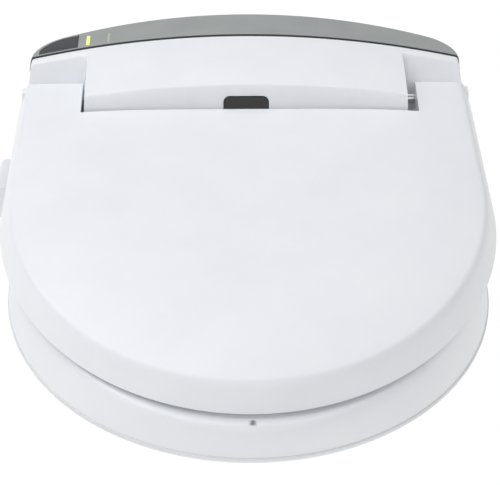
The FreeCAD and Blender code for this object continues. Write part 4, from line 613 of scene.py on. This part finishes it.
seat_insets = (SEAT_EDGE, 1.3, 2.2, 3.2, 4.5, 6.0, 7.5, 9.0, 11.0, 13.0, 15.5, 18.5, 22.0)
seat_loops = [nose_loop(d, *SEAT) for d in seat_insets]
seat_loops += [hole_loop(d) for d in (0, 0.15, 0.5, 1.1, 2.0, 3.0, 4.5, 6.0, 7.0, 9.0)]
seat_loops.append(rect(-PASSAGE_HALF, PASSAGE_Y, PASSAGE_HALF, SEAT_REAR + 5))
seat_loops.append(rect(-PASSAGE_HALF - 3, PASSAGE_Y - 3, PASSAGE_HALF + 3, SEAT_REAR + 6))
for drop in (0.1, 0.4, 0.9, 1.6, 3.0, 5.0):
    seat_loops.append(rect(-190, SEAT_REAR - drop, 190, SEAT_REAR + 12))
seat = raise_plan(
    "seat_top_skin", seat_loops, seat_zone,
    {"wall": (seat_skin, lambda x, y: SEAT_PARTING),
     "inner": (seat_skin, lambda x, y: seat_skin(x, y) - 3.6),
     "passage": (seat_skin, lambda x, y: PASSAGE_HIGH)},
    6.0, (-186, -466, 186, -92))
bevel(seat, 0.5)
LUG_R, LUG_TURN, LUG_STEPS = 7, 127, 18  # the round end, its first angle and its steps
LUG = [(SEAT_REAR - 2.9, 62), (SEAT_REAR - 2.9, 73)]
for step in range(LUG_STEPS + 1):
    angle = math.radians(LUG_TURN - 180 * step / LUG_STEPS)
    LUG.append((HINGE_Y + LUG_R * math.cos(angle), HINGE_Z + LUG_R * math.sin(angle)))
lugs = []
for side in (-1, 1):
    x0, x1 = sorted((side * 150, side * 168))
    lug = extrusion("lug", LUG, x0, x1)
    bevel(lug, 0.8)
    lugs.append(lug)
join(seat, *lugs)
finished(seat, "seat_top")


def lip_inset(x, y):
    """Distance to the nearest edge of the seat's lower shell."""
    d = min(nose_inset(x, y, *SEAT), hole_inset(x, y), SEAT_REAR - y)
    if y > PASSAGE_Y:
        return min(d, abs(x) - PASSAGE_HALF)
    return min(d, math.hypot(max(abs(x) - PASSAGE_HALF, 0), PASSAGE_Y - y))


lip_steps = (0, 0.08, 0.3, 0.65, 1.1, 1.7, 2.5, 4.0)
lip_loops = [nose_loop(d, *SEAT) for d in lip_steps] + [hole_loop(d) for d in lip_steps]
for d in lip_steps:
    lip_loops.append(rect(-190, SEAT_REAR - d, 190, SEAT_REAR + 12))
    lip_loops.append(rect(-PASSAGE_HALF - d, PASSAGE_Y - d, PASSAGE_HALF + d, SEAT_REAR + 6))
lip = raise_plan(
    "seat_bottom_skin", lip_loops,
    lambda x, y: None if lip_inset(x, y) < 0 or in_passage(x, y) else "slab",
    {"slab": (lambda x, y: SEAT_PARTING - 0.05 - rolled(1.1, lip_inset(x, y)),
              lambda x, y: SEAT_LOW + rolled(2.5, lip_inset(x, y)))},
    9.0, (-186, -466, 186, -92))
finished(lip, "seat_bottom")

# ---------------------------------------------------------------- housing cover

WALL = 2.6
STRIP_BOW, STRIP_PROUD, STRIP_DEEP = 13.0, 0.8, 1.6
BED_LEAD, BED_DROP = 0.6, 0.6  # the strip's bed starts ahead of the strip and lies below its foot


def strip_edge(x):
    return -STRIP_BOW * (x / HOUSE_HALF) ** 2


def strip_foot(x):
    return 118 - 5 * (x / HOUSE_HALF) ** 2


def foot_loop(inset, drop=0.0):
    """The housing's outline along the strip's foot, or at a drop below it."""
    return house_loop(inset, HUMP_Y, lambda x: strip_foot(x) - drop - PARTING)


def cover_plane(x, y, w=0.0, proud=0.0):
    """The cover's outside, or its inside when w is the wall: the least of its surfaces."""
    top = house_skin(x, y, proud - w)
    if abs(x) > HUMP_HALF - w:
        if y < SHOULDER_Y + w:
            return WING_TOP - w
        return soft_min(top, HINGE_Z + 6 - w + (y - SHOULDER_Y - w) / 0.5, 5.0)
    facet = FACET_FOOT - w + (y - HUMP_Y - w) / FACET_LEAN
    return soft_min(top, facet, 6.0)


def cover_zone(x, y):
    d = house_inset(x, y)
    if d < 0 or y < HUMP_Y:
        return None
    if y > strip_edge(x) - BED_LEAD:
        return "bed" if house_inset(x, y, strip_foot(x) - PARTING) > WALL else "bed_wall"
    side = abs(x) > HUMP_HALF
    if side and y < SHOULDER_Y:
        edge = d < WALL or y < HUMP_Y + WALL
        return "wing_wall" if edge else "wing"
    if side:
        if d < WALL:
            return "shoulder_wall"
        return "shoulder_front" if y < SHOULDER_Y + WALL else "shoulder"
    if y < HUMP_Y + WALL:
        return "front"
    return "cheek" if abs(x) > HUMP_HALF - WALL else "hump"


def bed_top(x, y):
    low = max(cover_plane(x, y, 0, -STRIP_DEEP), strip_foot(x) - BED_DROP)
    return min(cover_plane(x, y), low)


def cover_low(x, y):
    return cover_plane(x, y, WALL)


def strip_line(shift, reach=190, steps=96):
    """The strip's bowed front edge moved by shift, closed round the rear of the plan."""
    across = [-reach + 2 * reach * n / steps for n in range(steps + 1)]
    return [(x, strip_edge(x) + shift) for x in across] + [(reach, 70), (-reach, 70)]


cover_loops = [house_loop(d, HUMP_Y) for d in (0, WALL)]
cover_loops += [house_loop(0, HUMP_Y, rise) for rise in (14, 28, 42, 54, 64, 71)]
cover_loops += [foot_loop(d, BED_DROP) for d in (0, 0.8, STRIP_DEEP, 2.1, WALL)]
cover_loops += [house_loop(d, HUMP_Y, TOP_RISE) for d in (0.6, 1.1, 1.6, 2.2, 2.9, 3.7, 4.6, 7.0)]
cover_loops += [strip_line(-BED_LEAD), strip_line(1.0), strip_line(3.0)]
for half in (HUMP_HALF, HUMP_HALF - WALL, HUMP_HALF - 5):
    cover_loops.append(rect(-half, HUMP_Y - 3, half, 70))
for y in (HUMP_Y + 0.5, HUMP_Y + WALL, *(HUMP_Y + 6.5 + 0.6 * n for n in range(10)), HUMP_Y + 15):
    cover_loops.append(rect(-HUMP_HALF, y, HUMP_HALF, 80))
for side in (-1, 1):
    x0, x1 = sorted((side * HUMP_HALF, side * 190))
    cover_loops.append(rect(x0, HUMP_Y + WALL, x1, 81))
    for y in (0, WALL, 4, 5, 6, 7, 8, 9, 10, 12):
        cover_loops.append(rect(x0, SHOULDER_Y + y, x1, 82))


def foot(x, y):
    return PARTING


def under_wing(x, y):
    return WING_TOP - WALL


cover = raise_plan(
    "housing_cover_skin", cover_loops, cover_zone,
    {"bed": (bed_top, lambda x, y: cover_plane(x, y, WALL, -STRIP_DEEP + 0.6)),
     "bed_wall": (bed_top, foot), "wing_wall": (cover_plane, foot), "wing": (cover_plane, under_wing),
     "shoulder_wall": (cover_plane, foot), "shoulder_front": (cover_plane, under_wing),
     "shoulder": (cover_plane, cover_low), "front": (cover_plane, foot),
     "cheek": (cover_plane, under_wing), "hump": (cover_plane, cover_low)},
    6.0, (-188, -90, 188, 54))


def window_outline(grow=0.0):
    half, high, r = 18 + grow, 10 + grow, 5
    points = [(-half, -grow), (half, -grow)]
    for n in range(9):
        a = math.pi / 2 * n / 8
        points.append((half - r + r * math.cos(a), high - r + r * math.sin(a)))
    for n in range(9):
        a = math.pi / 2 * (1 + n / 8)
        points.append((r - half + r * math.cos(a), high - r + r * math.sin(a)))
    return points


def leaned(thing):
    """Turns a piece made upright at the foot of the hump's front to the front's lean."""
    tilt = Matrix.Rotation(-math.atan(FACET_LEAN), 4, "X")
    thing.data.transform(Matrix.Translation((0, HUMP_Y * MM, FACET_FOOT * MM)) @ tilt)
    return thing


BUSH_R, WHOLE_SIDE = 7, 99  # a step longer than any side leaves a rectangle its four corners
GUARD_HOLE = rect(-21.4, 35, 21.4, 47.4, WHOLE_SIDE)  # in X and Z
FILTER_HOLE = rect(-23.4, 45.6, 7.4, 71.4, WHOLE_SIDE)  # in Y and Z
cutters = []
for side in (-1, 1):
    x0, x1 = sorted((side * 120, side * 136))
    cutters.append(extrusion("bush_hole", disc(HINGE_Y, HINGE_Z, BUSH_R), x0, x1))
cutters.append(leaned(extrusion("window_hole", window_outline(0.2), -10, 10, "Y")))
cutters.append(extrusion("guard_hole", GUARD_HOLE, HUMP_Y - 5, HUMP_Y + 8, "Y"))
cutters.append(extrusion("filter_hole", FILTER_HOLE, 174, 192))
carve(cover, cutters)
bevel(cover, 0.45, 3, 45)
finished(cover, "housing_cover")

# ---------------------------------------------------------------- trim strip and its lenses

SHADE_BAND = 1.7  # how far the strip's paint starts behind its front edge; the near-black band in front of it is painted shade
WINDOW_START, WINDOW_IN = 3.5, 3  # the window's front and rear edges, in from the strip's
LED_START, LED_END = 5.5, 24.5


def on_strip(x, y, front=SHADE_BAND):
    """True behind a line set back from the strip's front edge, as far as the strip's outer face."""
    behind = y > strip_edge(x) + front
    return behind and house_inset(x, y, strip_foot(x) - PARTING) + STRIP_PROUD > 0


def strip_top(x, y):
    return house_skin(x, y, STRIP_PROUD)


def strip_low(x, y):
    return max(strip_foot(x), house_skin(x, y, -STRIP_DEEP) + 0.05)


def roof_edge(x, inset):
    """The rear edge of the housing's top at x, moved inwards."""
    half, radius, centre, corner_y, _ = house_bend(TOP_RISE)
    past = abs(x) - (half - CORNER)
    if past <= 0:
        return centre + math.sqrt((radius - inset) ** 2 - x * x)
    return corner_y + math.sqrt(max((CORNER - inset) ** 2 - past**2, 4))


WINDOW_X = (16 - HOUSE_HALF, 48 - HOUSE_HALF)
LEDS = {"power_led_lens": (56 - HOUSE_HALF, 1.5), "eco_led_lens": (73 - HOUSE_HALF, 1.3)}


def window_loop(gap):
    x0, x1 = WINDOW_X[0] + gap, WINDOW_X[1] - gap
    steps = 24
    front = [x0 + (x1 - x0) * n / steps for n in range(steps + 1)]
    back = [x1 + (x0 - x1) * n / steps for n in range(steps + 1)]
    points = [(x, strip_edge(x) + WINDOW_START + gap) for x in front]
    return points + [(x, roof_edge(x, WINDOW_IN + gap)) for x in back]


def led_loop(name, gap):
    x, wide = LEDS[name]
    y = strip_edge(x)
    return rect(x - wide + gap, y + LED_START + gap, x + wide - gap, y + LED_END - gap, 1.5)


def inside(loop, x, y):
    """True when a point lies inside a closed loop."""
    odd = False
    for n, m in closed(loop):
        (ax, ay), (bx, by) = loop[n], loop[m]
        if (ay > y) != (by > y) and x < ax + (bx - ax) * (y - ay) / (by - ay):
            odd = not odd
    return odd


INLETS = [window_loop(0), *(led_loop(name, 0) for name in LEDS)]


def strip_zone(x, y):
    if not on_strip(x, y):
        return None
    if any(inside(loop, x, y) for loop in INLETS):
        return None
    return "strip"


top_loops = [foot_loop(d) for d in (-0.8, -0.5, 0, 0.8, STRIP_DEEP, 2.2)]
top_loops += [house_loop(d, HUMP_Y, TOP_RISE) for d in (-0.4, 0.1, 0.6, 1.2, 1.8, 2.5, 3.4, 5.0)]
strip = raise_plan(
    "trim_strip_skin", top_loops + INLETS + [strip_line(SHADE_BAND), strip_line(SHADE_BAND + 1)], strip_zone,
    {"strip": (strip_top, strip_low)}, 5.0, (-188, -16, 188, 54))
bevel(strip, 0.3, 2)
finished(strip, "trim_strip")
# a near-black band along the strip's front edge: painted shade for the shadow line there, not a part
# of its own
shade_band = raise_plan(
    "trim_strip_painted_shade", top_loops + [strip_line(-0.5), strip_line(SHADE_BAND - 0.1)],
    lambda x, y: "lip" if on_strip(x, y, -0.5) and not on_strip(x, y, SHADE_BAND - 0.1) else None,
    {"lip": (lambda x, y: house_skin(x, y, 0.5), strip_low)}, 20.0, (-188, -16, 188, 54))
finished(shade_band, "trim_strip", PAINTED_EDGE_SHADE)
LENS_GAP, LENS_SUNK = 0.12, 0.05
lens_loops = {"display_window": window_loop(LENS_GAP)}
lens_loops.update({name: led_loop(name, LENS_GAP) for name in LEDS})
for name, loop in lens_loops.items():
    lens = raise_plan(
        name + "_lens", [loop, *top_loops], lambda x, y: "lens" if inside(loop, x, y) else None,
        {"lens": (lambda x, y: strip_top(x, y) - LENS_SUNK, strip_low)}, 3.0,
        (min(x for x, _ in loop), -16, max(x for x, _ in loop), 54))
    bevel(lens, 0.2, 2)
    finished(lens, name)
sensor = leaned(extrusion("sensor_window_lens", window_outline(-0.1), 0.3, 2.3, "Y"))
bevel(sensor, 0.35, 3)
finished(sensor, "sensor_window", INFRARED_BLACK)

# ---------------------------------------------------------------- smaller mouldings

EDGE_BREAKS = {
    "base_plate": 0.5, "pod_shell": 0.4, "pod_mount": 0.4, "pod_button_front": 0.5,
    "pod_button_rear": 0.5, "release_button": 0.5, "drain_cap": 0.4, "nozzle_guard": 0.35,
    "dryer_flap": 0.3, "mounting_bracket": 0.4, "bolt_guide_left": 0.4, "bolt_guide_right": 0.4,
    "rubber_pads": 0.5, "seat_bumpers": 0.8, "lid_bumpers": 0.6, "cord_gland": 0.4,
    "wash_nozzle": 0.15, "bidet_nozzle": 0.15, "lid_damper": 0.4, "seat_damper": 0.4,
    "carbon_filter": 0.3, "water_inlet": 0.15}
for node_name, width in EDGE_BREAKS.items():
    broken_edges(node_name, width)

# ---------------------------------------------------------------- floor, light and camera

FLOOR_HALF = 6  # metres, as are all sizes from here on
sheet = bmesh.new()
corners = [(a * FLOOR_HALF, b * FLOOR_HALF, 0) for a, b in ((-1, -1), (1, -1), (1, 1), (-1, 1))]
sheet.faces.new([sheet.verts.new(corner) for corner in corners])
floor = as_object("floor", sheet)
# a lit diffusing sheet: plain white under the object, with no shadow on it
floor.data.materials.append(finish_of(
    "light_table", "#000000", "#050505", (0.9, 1.0), 300, 20, 0.01, Specular_IOR_Level=0.0,
    Emission_Color=colour("#ffffff"), Emission_Strength=1.02))


def lamp(name, place, aim, size, power, tint="#ffffff"):
    """A soft rectangular light at a place, turned to its aim."""
    data = bpy.data.lights.new(name, "AREA")
    data.shape = "RECTANGLE"
    data.size, data.size_y = size
    data.energy = power
    data.color = colour(tint)[:3]
    made = bpy.data.objects.new(name, data)
    made.location = place
    made.rotation_euler = (Vector(aim) - Vector(place)).to_track_quat("-Z", "Y").to_euler()
    bpy.context.scene.collection.objects.link(made)


lamp("key", (-1.4, 0.1, 2.2), (0, -0.2, 0.05), (2.6, 2.6), 34, "#fafbff")
lamp("fill", (0.2, -2.2, 1.4), (0, -0.2, 0.05), (2.0, 1.2), 9)
lamp("top", (0.1, 0.9, 2.2), (0, -0.1, 0.05), (3.0, 2.0), 13)
world = bpy.data.worlds.new("studio")
world.use_nodes = True
world.node_tree.nodes["Background"].inputs["Color"].default_value = colour("#ffffff")
world.node_tree.nodes["Background"].inputs["Strength"].default_value = 0.4
bpy.context.scene.world = world
bpy.context.scene.view_settings.view_transform = "Standard"

AIM = Vector((0.0, -0.2285, 0.06))
AWAY, RISE, TURN = 1.7693, math.radians(26.2), math.radians(-0.75)
camera = bpy.data.objects.new("camera", bpy.data.cameras.new("camera"))
camera.data.lens = 169.1
camera.data.sensor_width = 36.0
camera.data.shift_x = 0.003
camera.location = AIM + AWAY * Vector((
    math.sin(TURN) * math.cos(RISE), -math.cos(TURN) * math.cos(RISE), math.sin(RISE)))
camera.rotation_euler = (AIM - camera.location).to_track_quat("-Z", "Y").to_euler()
bpy.context.scene.collection.objects.link(camera)
bpy.context.scene.camera = camera
